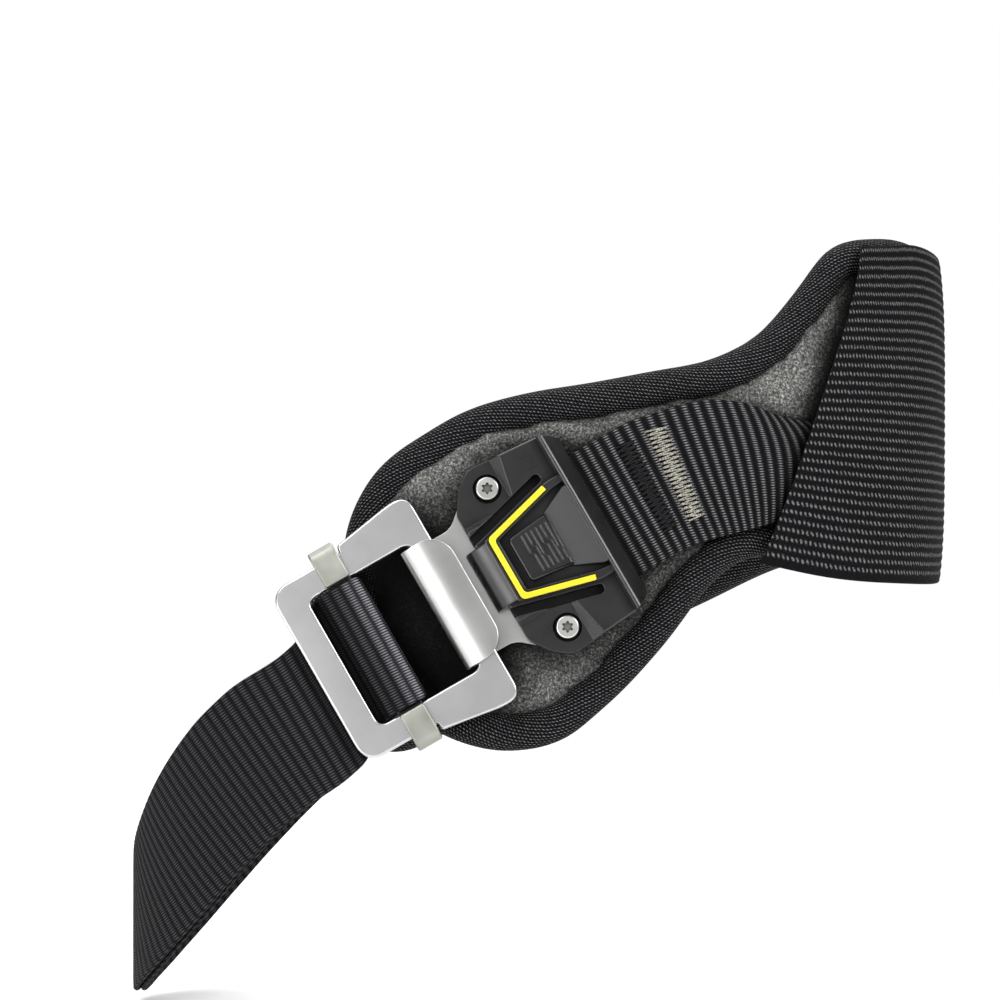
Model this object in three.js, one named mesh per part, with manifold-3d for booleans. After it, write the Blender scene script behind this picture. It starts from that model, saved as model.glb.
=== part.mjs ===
// Leg loop of a sit harness with its hook buckle, closed as it is worn.
// Millimetres. +Z runs up the thigh, the buckle faces -Y and the origin is the middle of the thigh opening.
import * as THREE from 'three';
import { mergeVertices } from 'three/addons/utils/BufferGeometryUtils.js';
import Module from 'manifold-3d';

const wasm = await Module();
wasm.setup();

// Loop: plan of the pad's outer face, a superellipse, with the front wall leaning back as it rises
const LOOP_HALF_WIDTH = 129;
const LOOP_HALF_DEPTH = 74;
const LOOP_POWER = 2.3;
const FRONT_LEAN = 0.12;
const PLAN_SAMPLES = 1440;

// Buckle: its axis climbs to the right across the front of the loop
const BUCKLE_CLIMB = THREE.MathUtils.degToRad(30);
const BUCKLE_X = -32.8;
const BUCKLE_Z = -4.7;
const GAP = 0.3;

// Webbing and pad
const WEB_WIDTH = 43.2;
const WEB_THICKNESS = 2;
const WEB_STEP = 7;
const PAD_THICKNESS = 8;
const ROLL_WIDTH = 12.8;
const ROLL_THICKNESS = 11;
const ROLL_SIDES = 8;
const PAD_STEP = 11;
const CAP_STEPS = 6;
const PAD_STRIPS = 4;
const SHELL_STRIPS = 8;
const WEB_STRIPS = 4;
const SHELL_THICKNESS = 1.8;
const SHELL_EDGE_LIFT = 1.9;

// Heights above the pad's face, in the buckle
const PLATE_LOW = 3;
const PLATE_THICKNESS = 2;
const PLATE_TOP = PLATE_LOW + PLATE_THICKNESS;
const FRAME_LOW = 5.7;
const FRAME_THICKNESS = 3;
const HOOK_LOW = 9.4;
const HOOK_TOP = HOOK_LOW + PLATE_THICKNESS;
const BODY_LOW = PLATE_TOP + GAP;
const WING_TOP = 11.5;
const TONGUE_TOP = 13.2;
const RIM_TOP = 14.4;
const CAVITY_TOP = 7.9;
// How far a cutting tool goes past the face that it cuts, and how much wider the cavity is than the slot
const CUT_PAST = 1;
const CAVITY_SPARE = 0.5;

// Adjuster frame, along the buckle's axis and half its width across
const FRAME_LEFT = -41.5;
const FRAME_RIGHT = 10.8;
const FRAME_NECK_END = -16.2;
const FRAME_NECK_HALF = 30.5;
const FRAME_FLARE_START = -15.8;
const FRAME_FLARE_HALF = 32.8;
const FRAME_FLARE_END = 3.6;
const FRAME_WIDE_HALF = 36;
const WINDOW_LEFT = -32;
const WINDOW_RIGHT = 4.2;
const WINDOW_HALF = 22.4;

// Slider bar and its clips
const SLIDER_LEFT = -25.2;
const SLIDER_WIDTH = 8.4;
const SLIDER_LOW = 3.4;
const SLIDER_BLOCK_TOP = 8.4;
const CLIP_ARM = 2;
const CLIP_TOP = 11;
const CLIP_OUT = 35;
const CLIP_WALL = 3.4;
const CLIP_CHAMFER = 1.2;

// Hook plate
const HOOK_HALF = 20.4;
const HOOK_END = 14.2;
const HOOK_CORNER = 8;
const NECK_HALF = 20;
const PLATE_END = 58.5;
const PLATE_HALF = 27;
const SLOT_LEFT = 51.2;
const SLOT_RIGHT = 55;
const SLOT_HALF = 22.4;
// How far the bend laps into the flat plates that it joins
const BEND_LAP = 0.1;

// Latch body
const BODY_END = 60.5;
const RIM_WIDTH = 5;
// How deep the rim and the tongue are rooted in the wings
const RIM_ROOT = 1;
const NOSE_LEFT = 17.2;
const NOSE_HALF = 9.3;
const WING_LEFT = 20.8;
const LATCH_CUT_WIDTH = 2.6;
const LINE_WIDTH = 1.9;
const LINE_DEPTH = 1;
const LINE_PROUD = 0.5;
const LINE_END = 48.6;
const SCREW_U = 33.4;
const SCREW_V = 24.8;
const SCREW_HEAD_RADIUS = 3.6;
const SCREW_SHANK_RADIUS = 1.8;
const SCREW_SEAT = 8.6;
const SCREW_HEAD = 2;
const SCREW_RECESS_RADIUS = 4.4;
const SCREW_CHAMFER = 0.6;
const SCREW_RIM = 1.5;
const SCREW_SIDES = 24;

// Rows run round the loop. s is the way round from the front middle, z the height of the middle line,
// up and down the half widths along the section, lean how far the section goes along s for each mm it rises
const padRows = [
  { s: -16.3, z: 4.8, up: 51.2, down: 54.6, lean: -0.577 },
  { s: 1.8, z: 15.3, up: 51, down: 50.6, lean: -0.577 },
  { s: 19.2, z: 25.3, up: 46.1, down: 44.4, lean: -0.577 },
  { s: 36.6, z: 35.3, up: 38.6, down: 36.7, lean: -0.577 },
  { s: 50, z: 42.8, up: 32.8, down: 35.2, lean: -0.5 },
  { s: 65, z: 45, up: 32.6, down: 34.6, lean: -0.32 },
  { s: 77, z: 48, up: 36, down: 37, lean: -0.19 },
  { s: 88.5, z: 53, up: 43.5, down: 43, lean: -0.12 },
  { s: 101.5, z: 59, up: 52.5, down: 50.5, lean: -0.08 },
  { s: 120, z: 60.5, up: 55, down: 54.5, lean: -0.02 },
  { s: 145, z: 58.5, up: 54.5, down: 54.5, lean: 0.04 },
  { s: 169, z: 56, up: 52, down: 52, lean: 0.08 },
  { s: 210, z: 52.5, up: 45.5, down: 45.5, lean: 0.15 },
  { s: 252, z: 44.5, up: 38.5, down: 38.5, lean: 0.38 },
  { s: 292, z: 26, up: 37, down: 37, lean: 0.5 },
  { s: 338, z: 3, up: 37, down: 37, lean: 0.5 },
  { s: 390, z: -24, up: 36, down: 36, lean: 0.56 },
];
const PAD_FRONT_CAP = 46.5;
const PAD_BACK_CAP = 26;

// The shell's front edge slants across the pad, and crown is its lift over the straps
const shellRows = [
  { s: 86.5, z: 60, up: 55, down: 52, lean: 0.36, crown: 5.2 },
  { s: 105, z: 59.5, up: 54, down: 54.5, lean: 0.22, crown: 5.2 },
  { s: 126, z: 58.5, up: 54.5, down: 54.5, lean: 0.08, crown: 3.8 },
  { s: 150, z: 57, up: 53, down: 53.5, lean: 0.06, crown: 2 },
  { s: 175, z: 55.5, up: 51, down: 51, lean: 0.08, crown: 1.5 },
  { s: 212, z: 52, up: 44.5, down: 44.5, lean: 0.15, crown: 1.5 },
  { s: 252, z: 44.5, up: 37.5, down: 37.5, lean: 0.38, crown: 1.5 },
  { s: 292, z: 26, up: 36, down: 36, lean: 0.5, crown: 2 },
  { s: 320, z: 12, up: 36, down: 36, lean: 0.5, crown: 3.6 },
  { s: 346, z: -1, up: 36, down: 36, lean: 0.5, crown: 3.6 },
  { s: 374, z: -15.5, up: 35.5, down: 35.5, lean: 0.52, crown: 3.6 },
];

// The leg strap's loaded strand, from under the shell's rear end to the frame. lift is above the pad's face
const strapRows = [
  { s: -341, z: 4.5, lean: 0.5, lift: 2.9 },
  { s: -318, z: -7, lean: 0.5, lift: 2.9 },
  { s: -295, z: -19, lean: 0.55, lift: 2.9 },
  { s: -275, z: -31.5, lean: 0.68, lift: 2.9 },
  { s: -257, z: -45, lean: 0.8, lift: 2.9 },
  { s: -240, z: -60, lean: 0.88, lift: 2.8 },
  { s: -225, z: -74, lean: 0.9, lift: 1.8 },
  { s: -210, z: -88, lean: 0.82, lift: 1 },
  { s: -197, z: -99, lean: 0.62, lift: 0.8 },
  { s: -184, z: -107, lean: 0.35, lift: 0.8 },
  { s: -172, z: -110, lean: 0.05, lift: 0.8 },
  { s: -160, z: -108.5, lean: -0.3, lift: 0.8 },
  { s: -148, z: -103.5, lean: -0.62, lift: 0.8 },
  { s: -136.5, z: -95.5, lean: -0.85, lift: 1 },
  { s: -125, z: -85.8, lean: -0.98, lift: 1.4 },
  { s: -115, z: -76, lean: -0.98, lift: 2.3 },
  { s: -103, z: -64.6, lean: -0.9, lift: 4.4 },
  { s: -92, z: -54.5, lean: -0.78, lift: 7 },
  { s: -81.5, z: -46, lean: -0.7, lift: 9.2 },
];
const TAIL_ROWS = 10;
const TAIL_LIFT = WEB_THICKNESS + 0.5;

// The same strap inside the buckle: under the left bar, round the slider and back. side is across the axis
const sliderRoute = [
  { u: -46, w: 2, side: -9 },
  { u: -42, w: 2, side: -8 },
  { u: -36, w: 2, side: -4.5 },
  { u: -30, w: 2, side: -1 },
  { u: -25, w: 2, side: 0 },
  { u: -17.4, w: 2, side: 0 },
  { u: -15.9, w: 2.4, side: 0 },
  { u: -14.9, w: 3.8, side: 0 },
  { u: -14.6, w: 6, side: 0 },
  { u: -14.9, w: 8.2, side: 0 },
  { u: -16, w: 9.5, side: 0 },
  { u: -17.6, w: 9.9, side: 0 },
  { u: -24, w: 9.9, side: 0 },
  { u: -25.8, w: 9.5, side: 0 },
  { u: -27.1, w: 8.2, side: 0 },
  { u: -28, w: 6.6, side: 0 },
  { u: -29.1, w: 5.2, side: 0 },
  { u: -30.8, w: 4.4, side: -0.6 },
  { u: -33, w: 4.3, side: -2 },
  { u: -37, w: 4.3, side: -4.6 },
  { u: -42, w: 4.3, side: -8 },
  { u: -46, w: 4.4, side: -9 },
];

// The folded loop of webbing on the hook plate: heights of its two plies where they run round the loop
const plyRows = [
  { s: 37.2, z: 36, lean: -0.5, lower: 1.6, upper: 4.9 },
  { s: 48, z: 39.5, lean: -0.4, lower: 1.6, upper: 4.2 },
  { s: 58.5, z: 42, lean: -0.3, lower: 1.6, upper: 4 },
  { s: 70, z: 44, lean: -0.2, lower: 1.6, upper: 4 },
  { s: 82.5, z: 45.2, lean: -0.12, lower: 1.6, upper: 4 },
  { s: 95, z: 46, lean: -0.06, lower: 1.6, upper: 4 },
  { s: 108, z: 46.5, lean: -0.03, lower: 1.6, upper: 4 },
];
const foldRoute = [
  { u: 68, w: 1.6 },
  { u: 62, w: 1.6 },
  { u: 55, w: 1.6 },
  { u: 53.3, w: 2.3 },
  { u: 52.6, w: 4 },
  { u: 53.3, w: 5.7 },
  { u: 55, w: 6.4 },
  { u: 59.5, w: 6.4 },
  { u: 63, w: 6 },
  { u: 68, w: 5.3 },
];

// Finishes: colour, roughness and metalness
const finishes = {
  satinSteel: [0xbfbfc2, 0.32, 1],
  castSteel: [0xb5b6ae, 0.55, 1],
  brightSteel: [0xd9d9d6, 0.25, 1],
  blackPlastic: [0x2a2a2c, 0.5, 0],
  yellowPlastic: [0xf2e31f, 0.45, 0],
  screwSteel: [0xd0d0cc, 0.35, 1],
  blackWebbing: [0x232325, 0.85, 0],
  greySuede: [0x6e6e6c, 0.95, 0],
  blackWeave: [0x1c1c1c, 0.9, 0],
  shellWeave: [0x17171a, 0.9, 0],
};

const tidy = (geometry) => {
  const bare = geometry.index ? geometry.toNonIndexed() : geometry.clone();
  bare.deleteAttribute('normal');
  bare.deleteAttribute('uv');
  return mergeVertices(bare, 1e-4);
};

const signedVolume = (geometry) => {
  const position = geometry.attributes.position;
  const index = geometry.index;
  const [a, b, c] = [new THREE.Vector3(), new THREE.Vector3(), new THREE.Vector3()];
  let volume = 0;
  for (let i = 0; i < index.count; i += 3) {
    a.fromBufferAttribute(position, index.getX(i));
    b.fromBufferAttribute(position, index.getX(i + 1));
    c.fromBufferAttribute(position, index.getX(i + 2));
    volume += a.dot(b.cross(c)) / 6;
  }
  return volume;
};

const solid = (geometry) => {
  const closed = tidy(geometry);
  const vertProperties = Float32Array.from(closed.attributes.position.array);
  const triVerts = Uint32Array.from(closed.index.array);
  return new wasm.Manifold(new wasm.Mesh({ numProp: 3, vertProperties, triVerts }));
};

const geometryOf = (manifold) => {
  const mesh = manifold.getMesh();
  const geometry = new THREE.BufferGeometry();
  geometry.setAttribute('position', new THREE.BufferAttribute(Float32Array.from(mesh.vertProperties), 3));
  geometry.setIndex(Array.from(mesh.triVerts));
  return geometry;
};

// Skin through rings of points. Point k of a ring faces the point that is as far from the ring's other end
const skin = (rings, joined = false) => {
  const size = rings[0].length;
  const indices = [];
  const spans = joined ? rings.length : rings.length - 1;
  for (let i = 0; i < spans; i += 1) {
    const near = i * size;
    const far = ((i + 1) % rings.length) * size;
    for (let k = 0; k < size; k += 1) {
      const next = (k + 1) % size;
      indices.push(near + k, near + next, far + next, near + k, far + next, far + k);
    }
  }
  if (!joined) {
    const last = (rings.length - 1) * size;
    for (let k = 0; k < size / 2 - 1; k += 1) {
      const mirror = size - 1 - k;
      indices.push(k, mirror, mirror - 1, k, mirror - 1, k + 1);
      indices.push(last + k, last + mirror - 1, last + mirror, last + k, last + k + 1, last + mirror - 1);
    }
  }
  const geometry = new THREE.BufferGeometry();
  const points = rings.flat().flatMap((point) => point.toArray());
  geometry.setAttribute('position', new THREE.Float32BufferAttribute(points, 3));
  geometry.setIndex(indices);
  if (signedVolume(geometry) < 0) {
    geometry.setIndex(indices.reverse());
  }
  return geometry;
};

// Outline with a radius at each corner, given as rows of along, across and radius
const roundedPath = (corners, path) => {
  const count = corners.length;
  corners.forEach((corner, i) => {
    const here = new THREE.Vector2(corner[0], corner[1]);
    const before = new THREE.Vector2(...corners[(i + count - 1) % count]);
    const after = new THREE.Vector2(...corners[(i + 1) % count]);
    const enter = here.clone().add(before.sub(here).setLength(corner[2]));
    const leave = here.clone().add(after.sub(here).setLength(corner[2]));
    if (i === 0) {
      path.moveTo(enter.x, enter.y);
    } else {
      path.lineTo(enter.x, enter.y);
    }
    path.quadraticCurveTo(here.x, here.y, leave.x, leave.y);
  });
  path.closePath();
  return path;
};

// Corners below the axis from left to right, then the half given, above it, from right to left
const mirrored = (half) => [...half.map(([u, v, radius]) => [u, -v, radius]), ...[...half].reverse()];

const plate = (shape, low, high, curveSegments = 4) => {
  const depth = high - low;
  const geometry = new THREE.ExtrudeGeometry(shape, { depth, bevelEnabled: false, curveSegments });
  return geometry.translate(0, 0, low);
};

const outline = (corners) => roundedPath(corners, new THREE.Shape());

const block = (left, right, lowSide, highSide, low, high) => {
  const geometry = new THREE.BoxGeometry(right - left, highSide - lowSide, high - low);
  return geometry.translate((left + right) / 2, (lowSide + highSide) / 2, (low + high) / 2);
};

const post = (radius, low, high, u, v) => {
  const geometry = new THREE.CylinderGeometry(radius, radius, high - low, SCREW_SIDES);
  return geometry.rotateX(Math.PI / 2).translate(u, v, (low + high) / 2);
};

// Plan of the loop, with the way round measured from the front middle towards +X
const plan = (() => {
  const power = 2 / LOOP_POWER;
  const reach = (value) => Math.sign(value) * Math.abs(value) ** power;
  const steep = (value) => Math.sign(value) * Math.abs(value) ** (LOOP_POWER - 1);
  const samples = [];
  let s = 0;
  for (let i = 0; i <= PLAN_SAMPLES; i += 1) {
    const angle = (2 * Math.PI * i) / PLAN_SAMPLES;
    const x = LOOP_HALF_WIDTH * reach(Math.sin(angle));
    const y = -LOOP_HALF_DEPTH * reach(Math.cos(angle));
    const out = new THREE.Vector2(
      steep(x / LOOP_HALF_WIDTH) / LOOP_HALF_WIDTH,
      steep(y / LOOP_HALF_DEPTH) / LOOP_HALF_DEPTH,
    ).normalize();
    if (i > 0) {
      s += Math.hypot(x - samples[i - 1].x, y - samples[i - 1].y);
    }
    samples.push({ s, x, y, out });
  }
  return { samples, length: s };
})();

// Point at s round the loop, at height z, lifted off the pad's outer face
const onLoop = (s, z, lift) => {
  const way = ((s % plan.length) + plan.length) % plan.length;
  let low = 0;
  let high = plan.samples.length - 1;
  while (high - low > 1) {
    const middle = (low + high) >> 1;
    if (plan.samples[middle].s > way) {
      high = middle;
    } else {
      low = middle;
    }
  }
  const [a, b] = [plan.samples[low], plan.samples[high]];
  const t = (way - a.s) / (b.s - a.s);
  const x = THREE.MathUtils.lerp(a.x, b.x, t);
  const y = THREE.MathUtils.lerp(a.y, b.y, t);
  const out = a.out.clone().lerp(b.out, t).normalize();
  const front = Math.max(0, -y / LOOP_HALF_DEPTH) ** 2;
  return new THREE.Vector3(x + out.x * lift, y + out.y * lift + FRONT_LEAN * z * front, z);
};

// Buckle's own frame: u along its axis, v across it, w out of the pad
const buckleMatrix = (() => {
  const rise = new THREE.Vector3(0, FRONT_LEAN, 1).normalize();
  const cosine = Math.cos(BUCKLE_CLIMB);
  const sine = Math.sin(BUCKLE_CLIMB);
  const along = new THREE.Vector3(cosine, 0, 0).addScaledVector(rise, sine);
  const across = new THREE.Vector3(-sine, 0, 0).addScaledVector(rise, cosine);
  const out = along.clone().cross(across);
  const y = -LOOP_HALF_DEPTH + FRONT_LEAN * BUCKLE_Z;
  return new THREE.Matrix4().makeBasis(along, across, out).setPosition(BUCKLE_X, y, BUCKLE_Z);
})();
const onBuckle = (u, v, w) => new THREE.Vector3(u, v, w).applyMatrix4(buckleMatrix);

// Rows of a table with smooth rows between them, about one step apart
const smoothRows = (rows, step) => {
  const keys = Object.keys(rows[0]);
  const row = (i) => rows[THREE.MathUtils.clamp(i, 0, rows.length - 1)];
  const between = (i, t, key) => {
    const [a, b, c, d] = [row(i - 1)[key], row(i)[key], row(i + 1)[key], row(i + 2)[key]];
    const pull = ((c - a) * (1 - t) + (d - b) * -t) * t * (1 - t) * 0.5;
    const blend = t * t * (3 - 2 * t);
    return b * (1 - blend) + c * blend + pull;
  };
  const result = [];
  for (let i = 0; i < rows.length - 1; i += 1) {
    const far = Math.hypot(rows[i + 1].s - rows[i].s, rows[i + 1].z - rows[i].z);
    const parts = Math.max(1, Math.round(far / step));
    for (let k = 0; k < parts; k += 1) {
      result.push(Object.fromEntries(keys.map((key) => [key, between(i, k / parts, key)])));
    }
  }
  result.push(rows[rows.length - 1]);
  return result;
};

const evenly = (from, to, parts) => {
  const share = (k) => from + ((to - from) * k) / parts;
  return Array.from({ length: parts + 1 }, (_, k) => share(k));
};

// Place on a row's section, at a signed distance from its middle line
const onRow = (row, distance, lift) => {
  const rise = 1 / Math.hypot(1, row.lean);
  return onLoop(row.s + row.lean * rise * distance, row.z + rise * distance, lift);
};

// Rows past an end of the pad, shrinking to a round end. way is -1 before the first row and 1 past the last
const capRows = (row, radius, way) => {
  const rise = 1 / Math.hypot(1, row.lean);
  const rows = [];
  for (let k = 1; k <= CAP_STEPS; k += 1) {
    const angle = (Math.PI / 2) * (k / CAP_STEPS);
    const move = way * radius * Math.sin(angle);
    rows.push({
      ...row,
      s: row.s + move * rise,
      z: row.z - move * rise * row.lean,
      up: row.up * Math.cos(angle),
      down: row.down * Math.cos(angle),
    });
  }
  return rows;
};

// Outline of the pad laid flat, moved in from its edge: along the top to the rear, then back below
const padOutline = (inset) => {
  const rows = smoothRows(padRows, PAD_STEP);
  const front = capRows(rows[0], PAD_FRONT_CAP, -1).reverse();
  const back = capRows(rows[rows.length - 1], PAD_BACK_CAP, 1);
  const all = [...front, ...rows, ...back];
  const place = (row, distance) => {
    const rise = 1 / Math.hypot(1, row.lean);
    return new THREE.Vector2(row.s + row.lean * rise * distance, row.z + rise * distance);
  };
  const top = all.map((row) => place(row, row.up));
  const bottom = all.slice(1, -1).map((row) => place(row, -row.down)).reverse();
  const path = [...top, ...bottom];
  return path.map((here, i) => {
    const before = path[(i + path.length - 1) % path.length];
    const after = path[(i + 1) % path.length];
    const ahead = after.clone().sub(before).normalize();
    const inward = new THREE.Vector2(ahead.y, -ahead.x);
    return { point: here.clone().addScaledVector(inward, inset), inward };
  });
};

// Pad, as strips from its top edge to its bottom edge, and the binding roll round it
const makeLegPad = () => {
  const path = padOutline(ROLL_WIDTH + GAP).map((step) => step.point);
  const across = evenly(0, 1, PAD_STRIPS);
  const rings = [];
  for (let i = 1; i < path.length / 2; i += 1) {
    const places = across.map((part) => path[i].clone().lerp(path[path.length - i], part));
    const outer = places.map((place) => onLoop(place.x, place.y, 0));
    const inner = places.map((place) => onLoop(place.x, place.y, -PAD_THICKNESS));
    rings.push([...outer, ...inner.reverse()]);
  }
  return skin(rings);
};

const makePadBinding = () => {
  const turns = Array.from({ length: ROLL_SIDES }, (_, k) => (2 * Math.PI * k) / ROLL_SIDES);
  const rings = padOutline(ROLL_WIDTH / 2).map(({ point, inward }) => turns.map((angle) => {
    const place = point.clone().addScaledVector(inward, (ROLL_WIDTH / 2) * Math.cos(angle));
    return onLoop(place.x, place.y, -PAD_THICKNESS / 2 + (ROLL_THICKNESS / 2) * Math.sin(angle));
  }));
  return skin(rings, true);
};

// Outer shell: a woven sheet that lies on the binding at its edges and domes over the straps
const makeOuterShell = () => {
  const rows = smoothRows(shellRows, PAD_STEP);
  const across = evenly(-1, 1, SHELL_STRIPS);
  const rings = rows.map((row) => {
    const place = (part) => part * (part > 0 ? row.up : row.down);
    const lift = (part) => SHELL_EDGE_LIFT + row.crown * (1 - part ** 4);
    const inner = across.map((part) => onRow(row, place(part), lift(part)));
    const outer = across.map((part) => onRow(row, place(part), lift(part) + SHELL_THICKNESS));
    return [...inner, ...outer.reverse()];
  });
  return skin(rings);
};

// Flat webbing through stations. A station gives the point at a distance across and a height through it
const webbing = (stations) => {
  const places = evenly(-WEB_WIDTH / 2, WEB_WIDTH / 2, WEB_STRIPS);
  const rings = stations.map((station) => {
    const one = places.map((place) => station(place, WEB_THICKNESS / 2));
    const other = places.map((place) => station(place, -WEB_THICKNESS / 2));
    return [...one, ...other.reverse()];
  });
  return skin(rings);
};

// Stations along a route in the buckle, square to the route
const routeStations = (route) => route.map((point, i) => {
  const before = route[Math.max(i - 1, 0)];
  const after = route[Math.min(i + 1, route.length - 1)];
  const ahead = new THREE.Vector2(after.u - before.u, after.w - before.w).normalize();
  const side = point.side ?? 0;
  return (place, height) => onBuckle(point.u - ahead.y * height, side + place, point.w + ahead.x * height);
});

const makeLegStrap = () => {
  const strand = smoothRows(strapRows, WEB_STEP);
  const load = strand.map((row) => (place, height) => onRow(row, place, row.lift + height));
  const tailRows = smoothRows(strapRows.slice(-TAIL_ROWS), WEB_STEP).reverse();
  const tail = tailRows.map((row) => (place, height) => onRow(row, place, row.lift + TAIL_LIFT - height));
  return webbing([...load, ...routeStations(sliderRoute), ...tail]);
};

const makeBuckleStrap = () => {
  const rows = smoothRows(plyRows, WEB_STEP);
  const lower = [...rows].reverse().map((row) => (place, height) => onRow(row, place, row.lower - height));
  const upper = rows.map((row) => (place, height) => onRow(row, place, row.upper + height));
  const fold = routeStations(foldRoute);
  return webbing([...lower, ...fold, ...upper]);
};

// Adjuster frame
const makeFrame = () => {
  const shape = outline(mirrored([
    [FRAME_LEFT, FRAME_NECK_HALF, 7],
    [FRAME_NECK_END, FRAME_NECK_HALF, 0.6],
    [FRAME_FLARE_START, FRAME_FLARE_HALF, 1],
    [FRAME_FLARE_END, FRAME_WIDE_HALF, 2],
    [FRAME_RIGHT, FRAME_WIDE_HALF, 5],
  ]));
  const window = mirrored([
    [WINDOW_LEFT, WINDOW_HALF, 3],
    [WINDOW_RIGHT, WINDOW_HALF, 3.5],
  ]);
  shape.holes.push(roundedPath(window, new THREE.Path()));
  return plate(shape, FRAME_LOW, FRAME_LOW + FRAME_THICKNESS);
};

// Slider bar: its block fills the window between the plies, and each end clips round a cheek
const makeSlider = () => {
  const blockEnd = WEB_WIDTH / 2;
  const armTop = SLIDER_LOW + CLIP_ARM;
  const wallInside = CLIP_OUT - CLIP_WALL;
  const half = [
    [blockEnd, SLIDER_BLOCK_TOP],
    [blockEnd, armTop],
    [wallInside, armTop],
    [wallInside, CLIP_TOP - CLIP_ARM],
    [WINDOW_HALF + GAP, CLIP_TOP - CLIP_ARM],
    [WINDOW_HALF + GAP, CLIP_TOP],
    [CLIP_OUT - CLIP_CHAMFER, CLIP_TOP],
    [CLIP_OUT, CLIP_TOP - CLIP_CHAMFER],
    [CLIP_OUT, SLIDER_LOW],
  ];
  const section = [...half, ...half.map(([v, w]) => [-v, w]).reverse()];
  const shape = new THREE.Shape(section.map(([v, w]) => new THREE.Vector2(v, w)));
  const geometry = new THREE.ExtrudeGeometry(shape, { depth: SLIDER_WIDTH, bevelEnabled: false });
  const turn = new THREE.Matrix4().makeBasis(
    new THREE.Vector3(0, 1, 0),
    new THREE.Vector3(0, 0, 1),
    new THREE.Vector3(1, 0, 0),
  );
  return geometry.applyMatrix4(turn).translate(SLIDER_LEFT, 0, 0);
};

// Hook plate: base with its slot, rolled bend and the return over the frame's bar
const makeHookPlate = () => {
  const bendRadius = (HOOK_TOP - PLATE_LOW) / 2;
  const bendHeight = (HOOK_TOP + PLATE_LOW) / 2;
  const base = outline(mirrored([
    [bendRadius, HOOK_HALF, 0.3],
    [12.5, NECK_HALF, 1.5],
    [16.5, NECK_HALF, 1.8],
    [20.5, 23.5, 1.5],
    [26, PLATE_HALF, 2],
    [PLATE_END, PLATE_HALF, 3],
  ]));
  const slot = mirrored([
    [SLOT_LEFT, SLOT_HALF, 0.8],
    [SLOT_RIGHT, SLOT_HALF, 0.8],
  ]);
  base.holes.push(roundedPath(slot, new THREE.Path()));
  const back = outline(mirrored([
    [bendRadius, HOOK_HALF, 0.3],
    [HOOK_END, HOOK_HALF, HOOK_CORNER],
  ]));
  const bend = new THREE.Shape();
  bend.absarc(0, 0, bendRadius, Math.PI / 2, 1.5 * Math.PI, false);
  bend.lineTo(BEND_LAP, -bendRadius);
  bend.lineTo(BEND_LAP, PLATE_THICKNESS - bendRadius);
  bend.lineTo(0, PLATE_THICKNESS - bendRadius);
  bend.absarc(0, 0, bendRadius - PLATE_THICKNESS, 1.5 * Math.PI, Math.PI / 2, true);
  bend.lineTo(BEND_LAP, bendRadius - PLATE_THICKNESS);
  bend.lineTo(BEND_LAP, bendRadius);
  bend.closePath();
  const depth = 2 * HOOK_HALF;
  const roll = new THREE.ExtrudeGeometry(bend, { depth, bevelEnabled: false, curveSegments: 10 });
  roll.rotateX(Math.PI / 2).translate(bendRadius, HOOK_HALF, bendHeight);
  const basePlate = solid(plate(base, PLATE_LOW, PLATE_TOP));
  return geometryOf(basePlate.add(solid(roll)).add(solid(plate(back, HOOK_LOW, HOOK_TOP))));
};

// Strip of even width along a bent line of points
const strip = (points, width, low, high) => {
  const side = (from, to) => {
    const ahead = new THREE.Vector2(to.x - from.x, to.y - from.y).normalize();
    return new THREE.Vector2(-ahead.y, ahead.x);
  };
  const edge = (way) => points.map((point, i) => {
    const first = side(points[Math.max(i - 1, 0)], points[Math.max(i, 1)]);
    const second = side(points[Math.min(i, points.length - 2)], points[Math.min(i + 1, points.length - 1)]);
    const mitre = first.clone().add(second).normalize();
    return point.clone().addScaledVector(mitre, (way * width) / 2 / mitre.dot(first));
  });
  return plate(new THREE.Shape([...edge(1), ...edge(-1).reverse()]), low, high);
};

// Line of the yellow inlay, and the two cuts that free the tongue
const linePoints = (end) => {
  const half = [[end, 16], [26.8, 10.6], [26, 9.4]];
  return mirrored(half).map(([u, v]) => new THREE.Vector2(u, v));
};
const latchCut = (way) => [
  new THREE.Vector2(15, way * 11.6),
  new THREE.Vector2(23.4, way * 12.9),
  new THREE.Vector2(49, way * 19.6),
];

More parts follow.
